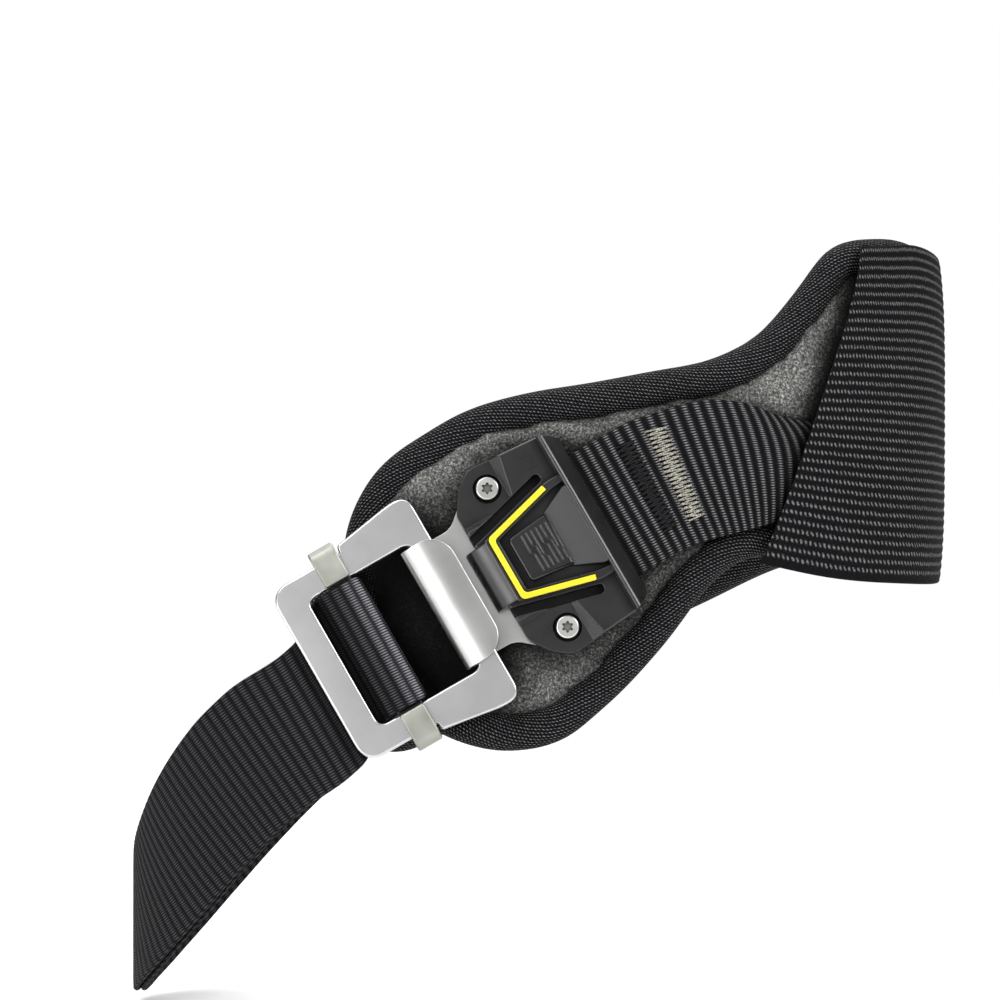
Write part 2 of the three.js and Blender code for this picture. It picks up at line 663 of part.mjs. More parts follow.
// Latch body: wings, rim and tongue in one moulding
const makeLatchBody = () => {
  const wings = outline(mirrored([
    [NOSE_LEFT, NOSE_HALF, 1],
    [WING_LEFT, 12, 0.4],
    [WING_LEFT, 22, 1.5],
    [25.5, 29, 2],
    [31, 33, 2.5],
    [55.5, 31, 2.5],
    [BODY_END, 28, 2.5],
  ]));
  const rim = outline(mirrored([
    [BODY_END - RIM_WIDTH, 31, 1],
    [BODY_END, 28, 2.5],
  ]));
  const tongue = outline(mirrored([
    [NOSE_LEFT + 3, NOSE_HALF, 1.5],
    [24.4, 11.2, 1],
    [50, 17.4, 1],
    [BODY_END - RIM_WIDTH + 0.5, 17.4, 1],
  ]));
  let body = solid(plate(wings, BODY_LOW, WING_TOP));
  body = body.add(solid(plate(rim, WING_TOP - RIM_ROOT, RIM_TOP)));
  body = body.add(solid(plate(tongue, WING_TOP - RIM_ROOT, TONGUE_TOP)));
  const below = BODY_LOW - CUT_PAST;
  for (const way of [1, -1]) {
    const side = way * SCREW_V;
    body = body.subtract(solid(strip(latchCut(way), LATCH_CUT_WIDTH, below, RIM_TOP)));
    body = body.subtract(solid(post(SCREW_RECESS_RADIUS, SCREW_SEAT, RIM_TOP, SCREW_U, side)));
    body = body.subtract(solid(post(SCREW_SHANK_RADIUS + GAP, below, RIM_TOP, SCREW_U, side)));
  }
  const grooveWidth = LINE_WIDTH + 2 * GAP;
  const grooveFloor = TONGUE_TOP - LINE_DEPTH - GAP;
  body = body.subtract(solid(strip(linePoints(LINE_END + GAP), grooveWidth, grooveFloor, RIM_TOP)));
  const half = SLOT_HALF + CAVITY_SPARE;
  const cavity = block(SLOT_LEFT - CAVITY_SPARE, BODY_END + CUT_PAST, -half, half, below, CAVITY_TOP);
  return geometryOf(body.subtract(solid(cavity)));
};

const makeLatchLine = () => {
  const points = linePoints(LINE_END);
  return strip(points, LINE_WIDTH, TONGUE_TOP - LINE_DEPTH, TONGUE_TOP + LINE_PROUD);
};

const makeScrew = (way) => {
  const low = SCREW_SEAT + GAP;
  const profile = [
    [0, BODY_LOW],
    [SCREW_SHANK_RADIUS, BODY_LOW],
    [SCREW_SHANK_RADIUS, low],
    [SCREW_HEAD_RADIUS, low],
    [SCREW_HEAD_RADIUS, low + SCREW_RIM],
    [SCREW_HEAD_RADIUS - SCREW_CHAMFER, low + SCREW_HEAD],
    [0, low + SCREW_HEAD],
  ];
  const geometry = new THREE.LatheGeometry(profile.map(([r, h]) => new THREE.Vector2(r, h)), SCREW_SIDES);
  return tidy(geometry.rotateX(Math.PI / 2).translate(SCREW_U, way * SCREW_V, 0));
};

const named = (name, geometry, finish) => {
  const [color, roughness, metalness] = finishes[finish];
  const closed = geometry.index ? geometry : tidy(geometry);
  closed.computeVertexNormals();
  const mesh = new THREE.Mesh(closed, new THREE.MeshStandardMaterial({ color, roughness, metalness }));
  mesh.name = name;
  return mesh;
};

const legLoop = new THREE.Group();
legLoop.add(
  named('leg_pad', makeLegPad(), 'greySuede'),
  named('pad_binding', makePadBinding(), 'blackWeave'),
  named('outer_shell', makeOuterShell(), 'shellWeave'),
  named('leg_strap', makeLegStrap(), 'blackWebbing'),
  named('buckle_strap', makeBuckleStrap(), 'blackWebbing'),
);

const buckle = new THREE.Group();
buckle.setRotationFromMatrix(buckleMatrix);
buckle.position.setFromMatrixPosition(buckleMatrix);
buckle.add(
  named('adjuster_frame', makeFrame(), 'satinSteel'),
  named('slider_bar', makeSlider(), 'castSteel'),
  named('hook_plate', makeHookPlate(), 'brightSteel'),
  named('latch_body', makeLatchBody(), 'blackPlastic'),
  named('latch_line', makeLatchLine(), 'yellowPlastic'),
  named('screw_upper', makeScrew(1), 'screwSteel'),
  named('screw_lower', makeScrew(-1), 'screwSteel'),
);
legLoop.add(buckle);

export default legLoop;
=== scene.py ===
# Looks of a sit harness's leg loop: webbing, pad, roll, shell and a hook buckle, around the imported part.
import math

import bpy
import numpy as np
from mathutils import Matrix, Vector


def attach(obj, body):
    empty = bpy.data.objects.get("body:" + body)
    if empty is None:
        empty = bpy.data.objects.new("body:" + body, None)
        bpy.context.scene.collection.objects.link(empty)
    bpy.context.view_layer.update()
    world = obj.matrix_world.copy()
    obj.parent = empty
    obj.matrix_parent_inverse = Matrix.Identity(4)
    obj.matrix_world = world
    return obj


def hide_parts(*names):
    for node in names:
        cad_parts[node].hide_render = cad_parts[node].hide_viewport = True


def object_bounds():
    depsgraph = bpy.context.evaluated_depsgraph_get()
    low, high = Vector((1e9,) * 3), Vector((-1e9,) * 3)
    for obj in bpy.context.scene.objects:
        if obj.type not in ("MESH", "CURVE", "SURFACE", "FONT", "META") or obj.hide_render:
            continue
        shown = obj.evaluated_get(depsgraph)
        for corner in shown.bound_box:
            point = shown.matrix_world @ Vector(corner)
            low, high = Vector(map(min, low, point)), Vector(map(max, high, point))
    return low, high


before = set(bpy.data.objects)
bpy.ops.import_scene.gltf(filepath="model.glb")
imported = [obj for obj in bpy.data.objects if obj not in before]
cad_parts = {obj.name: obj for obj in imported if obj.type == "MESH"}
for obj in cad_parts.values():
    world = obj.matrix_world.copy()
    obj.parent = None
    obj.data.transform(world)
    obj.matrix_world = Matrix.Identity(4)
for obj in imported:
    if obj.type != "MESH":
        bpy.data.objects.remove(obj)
cad_low, cad_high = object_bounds()

MM = 0.001

# The loop as the part has it, in millimetres: plan of the pad's outer face, and how far its front leans back
HALF_WIDTH, HALF_DEPTH, PLAN_POWER, FRONT_LEAN = 129.0, 74.0, 2.3, 0.12
WEB_WIDTH = 43.2
# Half the webbing's thickness, midway between its ribs and its grooves
WEB_HALF = 0.85
PAD_THICKNESS = 8.0
# How far the suede runs on under the roll, and the size of its mesh before it is smoothed
PAD_TUCK, PAD_VOXEL = 5.0, 4.0
ROLL_WIDTH, ROLL_THICKNESS = 12.8, 11.0
# How much slimmer the roll is before it swells, the depth of its tucks, and the steps along its mesh
ROLL_SLIM, ROLL_PUCKER, ROLL_STEP = 0.5, 0.25, 4.0
SWELL_FRAMES = 20
# Steps between the rows of a strap's route
ROUTE_STEP = 7.0

# Threads are drawn as coarse as they show. Webbing: one rib of weft, and the warp that crosses it
RIB, WARP = 3.4, 0.85
# Painted highlight on the webbing where it bends over the slider: how much lighter its threads are, and for
# how far
HIGHLIGHT_GAIN, HIGHLIGHT_REACH = 3.5, 3.2
# That bend's place along the buckle and out of it, where the painted highlight centres
HIGHLIGHT_U, HIGHLIGHT_W = -17.0, 9.7
# Shell: rows of its weave, and the dashes along a row
SHELL_ROW, SHELL_DASH = 2.35, 1.3
# How far those rows stand out, and the columns and steps of its mesh
SHELL_RELIEF, SHELL_COLUMNS, SHELL_STEP = 0.28, 241, 3.0
# Roll's cover: spacing of its threads, and of the tucks along its inner edge
ROLL_THREAD, ROLL_TUCK = 1.15, 17.0

# Way round from the front middle, height, half widths up and down, lean of the section
PAD_ROWS = np.array([
    (-16.3, 4.8, 51.2, 54.6, -0.577), (1.8, 15.3, 51, 50.6, -0.577), (19.2, 25.3, 46.1, 44.4, -0.577),
    (36.6, 35.3, 38.6, 36.7, -0.577), (50, 42.8, 32.8, 35.2, -0.5), (65, 45, 32.6, 34.6, -0.32),
    (77, 48, 36, 37, -0.19), (88.5, 53, 43.5, 43, -0.12), (101.5, 59, 52.5, 50.5, -0.08),
    (120, 60.5, 55, 54.5, -0.02), (145, 58.5, 54.5, 54.5, 0.04), (169, 56, 52, 52, 0.08),
    (210, 52.5, 45.5, 45.5, 0.15), (252, 44.5, 38.5, 38.5, 0.38), (292, 26, 37, 37, 0.5),
    (338, 3, 37, 37, 0.5), (390, -24, 36, 36, 0.56)])
FRONT_CAP, BACK_CAP = 46.5, 26.0

# As above, with the shell's lift over the straps last
SHELL_ROWS = np.array([
    (86.5, 60, 55, 52, 0.36, 5.2), (105, 59.5, 54, 54.5, 0.22, 5.2), (126, 58.5, 54.5, 54.5, 0.08, 3.8),
    (150, 57, 53, 53.5, 0.06, 2), (175, 55.5, 51, 51, 0.08, 1.5), (212, 52, 44.5, 44.5, 0.15, 1.5),
    (252, 44.5, 37.5, 37.5, 0.38, 1.5), (292, 26, 36, 36, 0.5, 2), (320, 12, 36, 36, 0.5, 3.6),
    (346, -1, 36, 36, 0.5, 3.6), (374, -15.5, 35.5, 35.5, 0.52, 3.6)])
# Lift of its underside at the edges, its middle above that, and half its mean thickness
SHELL_EDGE_LIFT, SHELL_MIDDLE, SHELL_HALF = 1.9, 0.9, 0.75

# Way round, height, lean, lift: the leg strap from under the shell's rear end to the frame
STRAP_ROWS = np.array([
    (-341, 4.5, 0.5, 2.9), (-318, -7, 0.5, 2.9), (-295, -19, 0.55, 2.9), (-275, -31.5, 0.68, 2.9),
    (-257, -45, 0.8, 2.9), (-240, -60, 0.88, 2.8), (-225, -74, 0.9, 1.8), (-210, -88, 0.82, 1),
    (-197, -99, 0.62, 0.8), (-184, -107, 0.35, 0.8), (-172, -110, 0.05, 0.8), (-160, -108.5, -0.3, 0.8),
    (-148, -103.5, -0.62, 0.8), (-136.5, -95.5, -0.85, 1), (-125, -85.8, -0.98, 1.4),
    (-115, -76, -0.98, 2.3), (-103, -64.6, -0.9, 4.4), (-92, -54.5, -0.78, 7), (-81.5, -46, -0.7, 9.2)])
TAIL_ROWS, TAIL_LIFT = 10, 2.5

# Along the buckle, height and shift across it: the strap under the left bar, round the slider and back
SLIDER_ROUTE = np.array([
    (-46, 2, -9), (-42, 2, -8), (-36, 2, -4.5), (-30, 2, -1), (-25, 2, 0), (-18, 2, 0), (-16.5, 2.4, 0),
    (-15.7, 3.8, 0), (-15.5, 6, 0), (-15.7, 8.2, 0), (-16.6, 9.5, 0), (-18, 9.9, 0), (-24, 9.9, 0),
    (-25.8, 9.5, 0), (-27.1, 8.2, 0), (-28, 6.6, 0), (-29.1, 5.2, 0), (-30.8, 4.4, -0.6), (-33, 4.3, -2),
    (-37, 4.3, -4.6), (-42, 4.3, -8), (-46, 4.4, -9)])

# Way round, height, lean, lifts of the lower and upper ply of the folded loop on the hook plate, shares of
# the half widths above and below that show where the band curls under the shell, how far its ribs bow
PLY_ROWS = np.array([
    (37.2, 36, -0.5, 1.6, 4.9, 1, 1, 0), (48, 39.5, -0.4, 1.6, 4.4, 1, 1, 0),
    (58.5, 42, -0.3, 1.6, 4.4, 0.98, 1, 0.8), (70, 43.8, -0.2, 1.6, 4.3, 0.83, 0.97, 2.5),
    (82.5, 44.6, -0.12, 1.6, 4.2, 0.58, 0.88, 5),
    (95, 45.5, -0.06, 1.6, 4, 0.46, 0.76, 7), (108, 46.5, -0.03, 1.6, 4, 0.42, 0.66, 8)])
# Along the buckle, height and shift across it: the fold through the hook plate's slot
FOLD_ROUTE = np.array([
    (68, 1.6, 0), (62, 1.6, 0), (55, 1.6, 0), (53.3, 2.3, 0), (52.6, 4, 0), (53.3, 5.7, 0), (55, 6.4, 0),
    (59.5, 6.4, 0), (63, 6, 0), (68, 5.3, 0)])

# Frame's window: its ends along the buckle and its half width
WINDOW_LEFT, WINDOW_RIGHT, WINDOW_HALF = -32.0, 4.2, 22.4
# Painted shade of the pad behind the frame's window: share of the light that the frame keeps off it, and how
# far that fades past the window
WINDOW_SHADE, WINDOW_FADE = 0.92, 5.0
# Level in the buckle's frame where that shade starts, and how far it takes to be full
SHADE_FLOOR, SHADE_RISE = -6.0, 2.0

# Bar tacks on the buckle strap: reach across it, length along it, and the rim's place before the strap's end
TACK_LOW, TACK_HIGH, TACK_LENGTH, RIM_TO_END = -14.0, 17.0, 6.0, 90.0

# Buckle's own frame: u along it, v across it, w out of the pad
CLIMB = math.radians(30)
RISE = Vector((0, FRONT_LEAN, 1)).normalized()
ALONG = Vector((math.cos(CLIMB), 0, 0)) + RISE * math.sin(CLIMB)
ACROSS = Vector((-math.sin(CLIMB), 0, 0)) + RISE * math.cos(CLIMB)
OUT = ALONG.cross(ACROSS)
BUCKLE_X, BUCKLE_Z = -32.8, -4.7
BUCKLE = Matrix((ALONG, ACROSS, OUT)).transposed().to_4x4()
BUCKLE.translation = Vector((BUCKLE_X, FRONT_LEAN * BUCKLE_Z - HALF_DEPTH, BUCKLE_Z)) * MM


def running(steps):
    """Way along a line, from the lengths of its steps."""
    return np.concatenate([[0], np.cumsum(steps)])


def loop_plan():
    """Samples of the plan: way round, place and outward direction."""
    turn = np.linspace(0, 2 * np.pi, 1441)
    reach = np.stack([np.sin(turn), -np.cos(turn)])
    spot = np.sign(reach) * np.abs(reach) ** (2 / PLAN_POWER) * [[HALF_WIDTH], [HALF_DEPTH]]
    share = spot / [[HALF_WIDTH], [HALF_DEPTH]]
    out = np.sign(share) * np.abs(share) ** (PLAN_POWER - 1) / [[HALF_WIDTH], [HALF_DEPTH]]
    return running(np.hypot(*np.diff(spot))), spot, out / np.hypot(*out)


PLAN_WAY, PLAN_PLACE, PLAN_OUT = loop_plan()


def on_loop(s, z, lift):
    """Points, in metres, at s round the loop and height z, lifted off the pad's outer face."""
    way = np.mod(s, PLAN_WAY[-1])
    x, y = (np.interp(way, PLAN_WAY, row) for row in PLAN_PLACE)
    out = np.stack([np.interp(way, PLAN_WAY, row) for row in PLAN_OUT])
    out = out / np.hypot(*out)
    lean = FRONT_LEAN * z * np.maximum(0, -y / HALF_DEPTH) ** 2
    return MM * np.stack([x + out[0] * lift, y + out[1] * lift + lean, z + 0 * x], axis=-1)


def on_buckle(u, v, w):
    """Points, in metres, from millimetres in the buckle's frame."""
    local = np.stack(np.broadcast_arrays(u, v, w), axis=-1) * MM
    return local @ np.array(BUCKLE.to_3x3()).T + np.array(BUCKLE.translation)


def curve_through(keys, points, fine):
    """Smooth curve through points, which sit at rising keys, read at the fine keys."""
    slope = np.gradient(points, keys, axis=0)
    i = np.clip(np.searchsorted(keys, fine, side="right") - 1, 0, len(keys) - 2)
    span = (keys[i + 1] - keys[i]).reshape(-1, *[1] * (points.ndim - 1))
    t = ((fine - keys[i]) / (keys[i + 1] - keys[i])).reshape(span.shape)
    return ((1 + 2 * t) * (1 - t) ** 2 * points[i] + t * (1 - t) ** 2 * span * slope[i]
            + t * t * (3 - 2 * t) * points[i + 1] + t * t * (t - 1) * span * slope[i + 1])


def row_points(rows, places, lift):
    """Points of each row's section at signed distances from its middle line."""
    s, z, lean = rows[:, [0]], rows[:, [1]], rows[:, [2]]
    rise = 1 / np.hypot(1, lean)
    return on_loop(s + lean * rise * places, z + rise * places, lift)


def deselect():
    """Leaves object mode with nothing selected."""
    if bpy.context.object and bpy.context.object.mode != "OBJECT":
        bpy.ops.object.mode_set(mode="OBJECT")
    bpy.ops.object.select_all(action="DESELECT")


def pick(piece):
    """Selects one piece alone."""
    deselect()
    bpy.context.view_layer.objects.active = piece
    piece.select_set(True)


# Edit step that turns faces outward
OUTWARD = (bpy.ops.mesh.normals_make_consistent, {"inside": False})


def edit(piece, *steps):
    """Runs edit-mode operators on the whole mesh, each given as (operator, settings)."""
    pick(piece)
    bpy.ops.object.mode_set(mode="EDIT")
    for operator, settings in steps:
        bpy.ops.mesh.select_all(action="SELECT")
        operator(**settings)
    bpy.ops.object.mode_set(mode="OBJECT")


def finish_with(piece, kind, **settings):
    """Adds a modifier, sets it and applies it."""
    pick(piece)
    modifier = piece.modifiers.new(kind.lower(), kind)
    for key, value in settings.items():
        setattr(modifier, key, value)
    bpy.ops.object.modifier_apply(modifier=modifier.name)


def join_in(piece, tool, operation):
    """Joins, cuts or intersects a piece with a tool, and removes the tool."""
    finish_with(piece, "BOOLEAN", object=tool, operation=operation, solver="EXACT")
    bpy.data.objects.remove(tool)


def cut(piece, tool):
    """Cuts a tool out of a piece."""
    join_in(piece, tool, "DIFFERENCE")


def gather(piece, *others):
    """Makes closed parts of one moulding a single mesh."""
    deselect()
    for part in (piece, *others):
        part.select_set(True)
    bpy.context.view_layer.objects.active = piece
    bpy.ops.object.join()


def smooth(piece, degrees):
    """Shades the faces smooth where they meet at less than an angle."""
    pick(piece)
    bpy.ops.object.shade_smooth_by_angle(angle=math.radians(degrees))


def as_mesh(curve):
    """A mesh piece made of a curve."""
    piece = bpy.data.objects.new(curve.name, curve)
    bpy.context.scene.collection.objects.link(piece)
    pick(piece)
    bpy.ops.object.convert(target="MESH")
    return piece


def round_edges(piece, width):
    """Rounds the sharp edges of a mesh."""
    finish_with(piece, "BEVEL", width=width * MM, segments=3, limit_method="ANGLE",
                angle_limit=math.radians(50))


def spots_of(piece, key="co"):
    """Places of a mesh's vertices, or their normals."""
    values = np.empty(len(piece.data.vertices) * 3)
    piece.data.vertices.foreach_get(key, values)
    return values.reshape(-1, 3)


def wrap_grid(name, points, along, across, capped=False):
    """A grid shaped to points [i, k], with a map in millimetres. Rows and columns that meet are joined."""
    n, m = points.shape[0] - 1, points.shape[1] - 1
    bpy.ops.mesh.primitive_grid_add(x_subdivisions=n, y_subdivisions=m, size=2)
    piece = bpy.context.object
    piece.name = piece.data.name = name
    mesh = piece.data
    flat = spots_of(piece)
    i = np.rint((flat[:, 0] + 1) / 2 * n).astype(int)
    k = np.rint((flat[:, 1] + 1) / 2 * m).astype(int)
    mesh.vertices.foreach_set("co", points[i, k].ravel())
    uv = np.empty(len(mesh.loops) * 2)
    mesh.uv_layers.active.data.foreach_get("uv", uv)
    uv = uv.reshape(-1, 2)
    i, k = np.rint(uv[:, 0] * n).astype(int), np.rint(uv[:, 1] * m).astype(int)
    mesh.uv_layers.active.data.foreach_set("uv", np.stack([along[i], across[k]], axis=1).ravel())
    steps = [(bpy.ops.mesh.remove_doubles, {"threshold": 1e-6})]
    if capped:
        steps.append((bpy.ops.mesh.fill_holes, {"sides": 0}))
    edit(piece, *steps, OUTWARD)
    return piece


class Band:
    """A woven band: its middle surface, resampled along its length, with the way along it in millimetres."""

    def __init__(self, stations, places, step):
        middle = stations[:, len(places) // 2]
        chord = running(np.linalg.norm(np.diff(middle, axis=0), axis=1)) / MM
        self.along = np.linspace(0, chord[-1], int(chord[-1] / step) + 1)
        self.places = places
        self.surface = curve_through(chord, stations, self.along)
        tangent = np.gradient(self.surface, self.along, axis=0)
        side = np.gradient(self.surface, places, axis=1)
        normal = np.cross(tangent, side)
        self.normal = normal / np.linalg.norm(normal, axis=-1, keepdims=True)

    def read(self, across, steps=slice(None)):
        """Surface and normal at distances across, for steps along the band."""
        return [np.array([[np.interp(across, self.places, row) for row in section.T]
                          for section in grid[steps]]) for grid in (self.surface, self.normal)]

    def points(self, across, height):
        """Points at distances across and heights off the surface, for every step along it."""
        surface, normal = (grid.transpose(0, 2, 1) for grid in self.read(across))
        return surface + normal * height[..., None] * MM

    def at(self, along, across, height):
        """One point on the band."""
        i = min(int(np.searchsorted(self.along, along)), len(self.along) - 1)
        surface, normal = self.read(across, slice(i, i + 1))
        return surface[0] + normal[0] * height * MM

    def cloth(self, name, half_width, half_thickness, columns, relief):
        """The band as a closed cloth with rounded edges, whose two faces rise by relief(along, across)."""
        flat = np.linspace(-half_width + half_thickness, half_width - half_thickness, columns)
        turn = np.linspace(np.pi / 2, -np.pi / 2, 7)[1:-1]
        across = np.concatenate([flat, half_width + half_thickness * (np.cos(turn) - 1), flat[::-1],
                                 -half_width - half_thickness * (np.cos(turn) - 1), flat[:1]])
        level = np.concatenate([np.ones(columns), np.sin(turn), -np.ones(columns), -np.sin(turn), [1]])
        girth = running(np.hypot(np.diff(across), np.diff(level * half_thickness)))
        end = np.minimum(self.along, self.along[-1] - self.along)
        taper = np.sqrt(np.clip(1 - (1 - np.clip(end, 0.06, 1)) ** 2, 0, 1))[:, None]
        rise = half_thickness + relief(self.along[:, None], across[None])
        points = self.points(across, level * rise * taper)
        return wrap_grid(name, points, self.along, girth - half_width, capped=True)


# Colours, materials

def colour(code):
    """Linear colour of an sRGB hex value."""
    parts = [int(code[i:i + 2], 16) / 255 for i in (1, 3, 5)]
    return (*[p / 12.92 if p <= 0.04045 else ((p + 0.055) / 1.055) ** 2.4 for p in parts], 1)


def add(tree, kind, links=None, **settings):
    """Adds a node with its settings. links gives each input an output to follow or a value."""
    made = tree.nodes.new("ShaderNode" + kind)
    for key, value in settings.items():
        setattr(made, key, value)
    for key, value in (links or {}).items():
        if isinstance(value, bpy.types.NodeSocket):
            tree.links.new(value, made.inputs[key])
        else:
            made.inputs[key].default_value = value
    return made


def material(name, **sockets):
    """A material and its shader, with the shader's own sockets set."""
    made = bpy.data.materials.new(name)
    made.use_nodes = True
    shader = made.node_tree.nodes["Principled BSDF"]
    for key, value in sockets.items():
        shader.inputs[key.replace("_", " ")].default_value = value
    return made, made.node_tree, shader


# These add to the tree of the output they start from, or to a tree they are given

def ramp(factor, *stops):
    """Colours along a factor, given as (place, hex)."""
    made = add(factor.id_data, "ValToRGB", {"Fac": factor})
    while len(made.color_ramp.elements) < len(stops):
        made.color_ramp.elements.new(0.5)
    for element, (position, code) in zip(made.color_ramp.elements, stops):
        element.position, element.color = position, colour(code)
    return made.outputs["Color"]


def maths(operation, first, *others):
    """One step of arithmetic on outputs and plain values."""
    return add(first.id_data, "Math", dict(enumerate((first, *others))), operation=operation).outputs[0]


def noise(spot, scale, detail, rough=0.5, output=0):
    """A soft random pattern."""
    links = {"Vector": spot, "Scale": scale, "Detail": detail, "Roughness": rough}
    return add(spot.id_data, "TexNoise", links).outputs[output]


def arches(turns):
    """Rounded arches, one for each turn."""
    return maths("ABSOLUTE", maths("SINE", maths("MULTIPLY", turns, math.pi)))


def dimmed(tint, share):
    """A colour times a share."""
    return add(tint.id_data, "VectorMath", {0: tint, "Scale": share}, operation="SCALE").outputs[0]


def openness(tree, reach, power):
    """How open a spot is to what surrounds it, within a reach in millimetres."""
    near = add(tree, "AmbientOcclusion", {"Distance": reach * MM}, samples=12).outputs["AO"]
    return maths("POWER", near, power)


def painted_shade(tint, reach, power):
    """A colour darkened with painted shade where the piece lies close behind others."""
    return dimmed(tint, openness(tint.id_data, reach, power))


def painted_window_shade(tint):
    """A colour darkened with painted shade where its piece is marked as lying behind the frame's window."""
    shaded = add(tint.id_data, "Attribute", attribute_name="shaded").outputs["Fac"]
    return dimmed(tint, maths("MULTIPLY_ADD", shaded, -WINDOW_SHADE, 1))


def raise_grain(shader, height, strength, depth, **links):
    """Gives the shader a fine relief with a depth in millimetres."""
    links = {"Height": height, "Strength": strength, "Distance": depth * MM, **links}
    bump = add(height.id_data, "Bump", links)
    height.id_data.links.new(bump.outputs[0], shader.inputs["Normal"])


def ribbed_webbing(name, groove, thread, crest, fullness):
    """Polyester webbing, woven in ribs: matte, each rib wrapped by fine threads; crests and threads carry
    painted highlight, grooves painted shade.
    """
    made, tree, shader = material(name, Roughness=0.7, Specular_IOR_Level=0.06)
    uv = add(tree, "UVMap").outputs[0]
    along, across = add(tree, "SeparateXYZ", {0: uv}).outputs[:2]
    turns = maths("MULTIPLY", along, 1 / RIB)
    rib = maths("POWER", arches(turns), fullness)
    shift = maths("MULTIPLY", maths("FLOOR", turns), 0.5)
    skew = maths("MULTIPLY_ADD", turns, 0.35, shift)
    warp = maths("MULTIPLY_ADD", across, 1 / WARP, skew)
    warp = maths("SINE", maths("MULTIPLY", warp, 2 * math.pi))
    warp = add(tree, "MapRange", {0: warp, 1: -1, 2: 1, 3: 0, 4: 1}).outputs[0]
    fuzz = noise(uv, 1.7, 3)
    lit = maths("MULTIPLY", maths("MULTIPLY_ADD", warp, 0.75, 0.12), rib)
    lit = maths("SUBTRACT", maths("MULTIPLY_ADD", fuzz, 0.5, lit), 0.22)
    tint = ramp(lit, (0.05, groove), (0.4, thread), (0.9, crest))
    # Painted highlight round the bend over the slider
    painted_highlight = add(tree, "Attribute", attribute_name="painted_highlight").outputs["Fac"]
    tint = dimmed(tint, maths("MULTIPLY_ADD", painted_highlight, HIGHLIGHT_GAIN, 1))
    # Painted shade where the strap lies close behind others
    tree.links.new(painted_shade(tint, reach=9, power=2.4), shader.inputs["Base Color"])
    height = maths("ADD", warp, maths("MULTIPLY", fuzz, 0.5))
    raise_grain(shader, height, strength=0.75, depth=0.22)
    return made


def dotted_weave(name, pitch, slope, sharpness, tones, relief, selvedge):
    """Polyamide weave: a matte black ground with lighter floats of thread in rows. pitch spaces them along
    and across in millimetres, slope slants the rows, and past the selvedge from the middle they fade."""
    made, tree, shader = material(name, Roughness=0.75, Specular_IOR_Level=0.06)
    uv = add(tree, "UVMap").outputs[0]
    wander = noise(uv, 0.5, 2, output=1)
    moved = add(tree, "VectorMath", {0: wander, 1: (0.5, 0.5, 0.5)}, operation="SUBTRACT").outputs[0]
    moved = add(tree, "VectorMath", {0: moved, 1: (0.8, 0.4, 0), 2: uv}, operation="MULTIPLY_ADD").outputs[0]
    along, across = add(tree, "SeparateXYZ", {0: moved}).outputs[:2]
    row = maths("MULTIPLY", maths("MULTIPLY_ADD", along, slope, across), 1 / pitch[1])
    number = maths("MULTIPLY_ADD", maths("FLOOR", row), 0.37, row)
    step = maths("MULTIPLY_ADD", along, 1 / pitch[0], number)
    waves = [maths("POWER", arches(turns), power)
             for turns, power in zip((row, step), sharpness)]
    fuzz = noise(uv, 1.6, 4, rough=0.7)
    lit = maths("MULTIPLY_ADD", fuzz, 1.7, maths("MULTIPLY", *waves))
    lit = maths("SUBTRACT", lit, 0.85)
    edge = maths("ABSOLUTE", add(tree, "SeparateXYZ", {0: uv}).outputs[1])
    edge = add(tree, "MapRange", {0: edge, 1: selvedge, 2: selvedge + 1, 3: 1, 4: 0.35}).outputs[0]
    lit = maths("MULTIPLY", lit, edge)
    ground, thread, dash = tones
    # Painted shade behind the frame's window
    tint = painted_window_shade(ramp(lit, (0.3, ground), (0.6, thread), (0.95, dash)))
    tree.links.new(tint, shader.inputs["Base Color"])
    raise_grain(shader, lit, strength=0.8, depth=relief)
    return made


def brushed_suede(name):
    """Synthetic suede on foam: a short grey nap, speckled light and dark, with painted shade in its hollows
    and behind the frame's window.
    """
    made, tree, shader = material(name, Roughness=0.92, Specular_IOR_Level=0.08, Sheen_Weight=0.05,
                                  Sheen_Roughness=0.5)
    spot = add(tree, "TexCoord").outputs["Object"]
    fleck = noise(spot, 1 / (0.75 * MM), 4, rough=0.8)
    cloud = noise(spot, 1 / (16 * MM), 2)
    tone = maths("MULTIPLY_ADD", cloud, 0.15, fleck)
    tint = ramp(tone, (0.43, "#252525"), (0.59, "#646462"), (0.77, "#c8c8c3"))
    # Painted shade where the pad lies close behind others and behind the frame's window
    tint = painted_window_shade(painted_shade(tint, reach=24, power=3.2))
    tree.links.new(tint, shader.inputs["Base Color"])
    raise_grain(shader, maths("MULTIPLY_ADD", cloud, 3, fleck), strength=0.7, depth=0.4)
    return made


def worked_steel(name, base, rough, grain=0.0, depth=0.0, shade=0.0):
    """Steel: a broad unevenness of tone keeps it from looking cut from one colour. Where the surface has a
    grain, in millimetres, it breaks up what the steel mirrors."""
    made, tree, shader = material(name, Metallic=1.0, Roughness=rough)
    spot = add(tree, "TexCoord").outputs["Object"]
    low, high = base
    tint = ramp(noise(spot, 1 / (11 * MM), 2), (0.3, low), (0.7, high))
    # Painted shade where the steel lies close behind others, when shade is given
    tint = painted_shade(tint, reach=14, power=shade) if shade else tint
    tree.links.new(tint, shader.inputs["Base Color"])
    if grain:
        raise_grain(shader, noise(spot, 1 / (grain * MM), 4), strength=0.5, depth=depth)
    return made


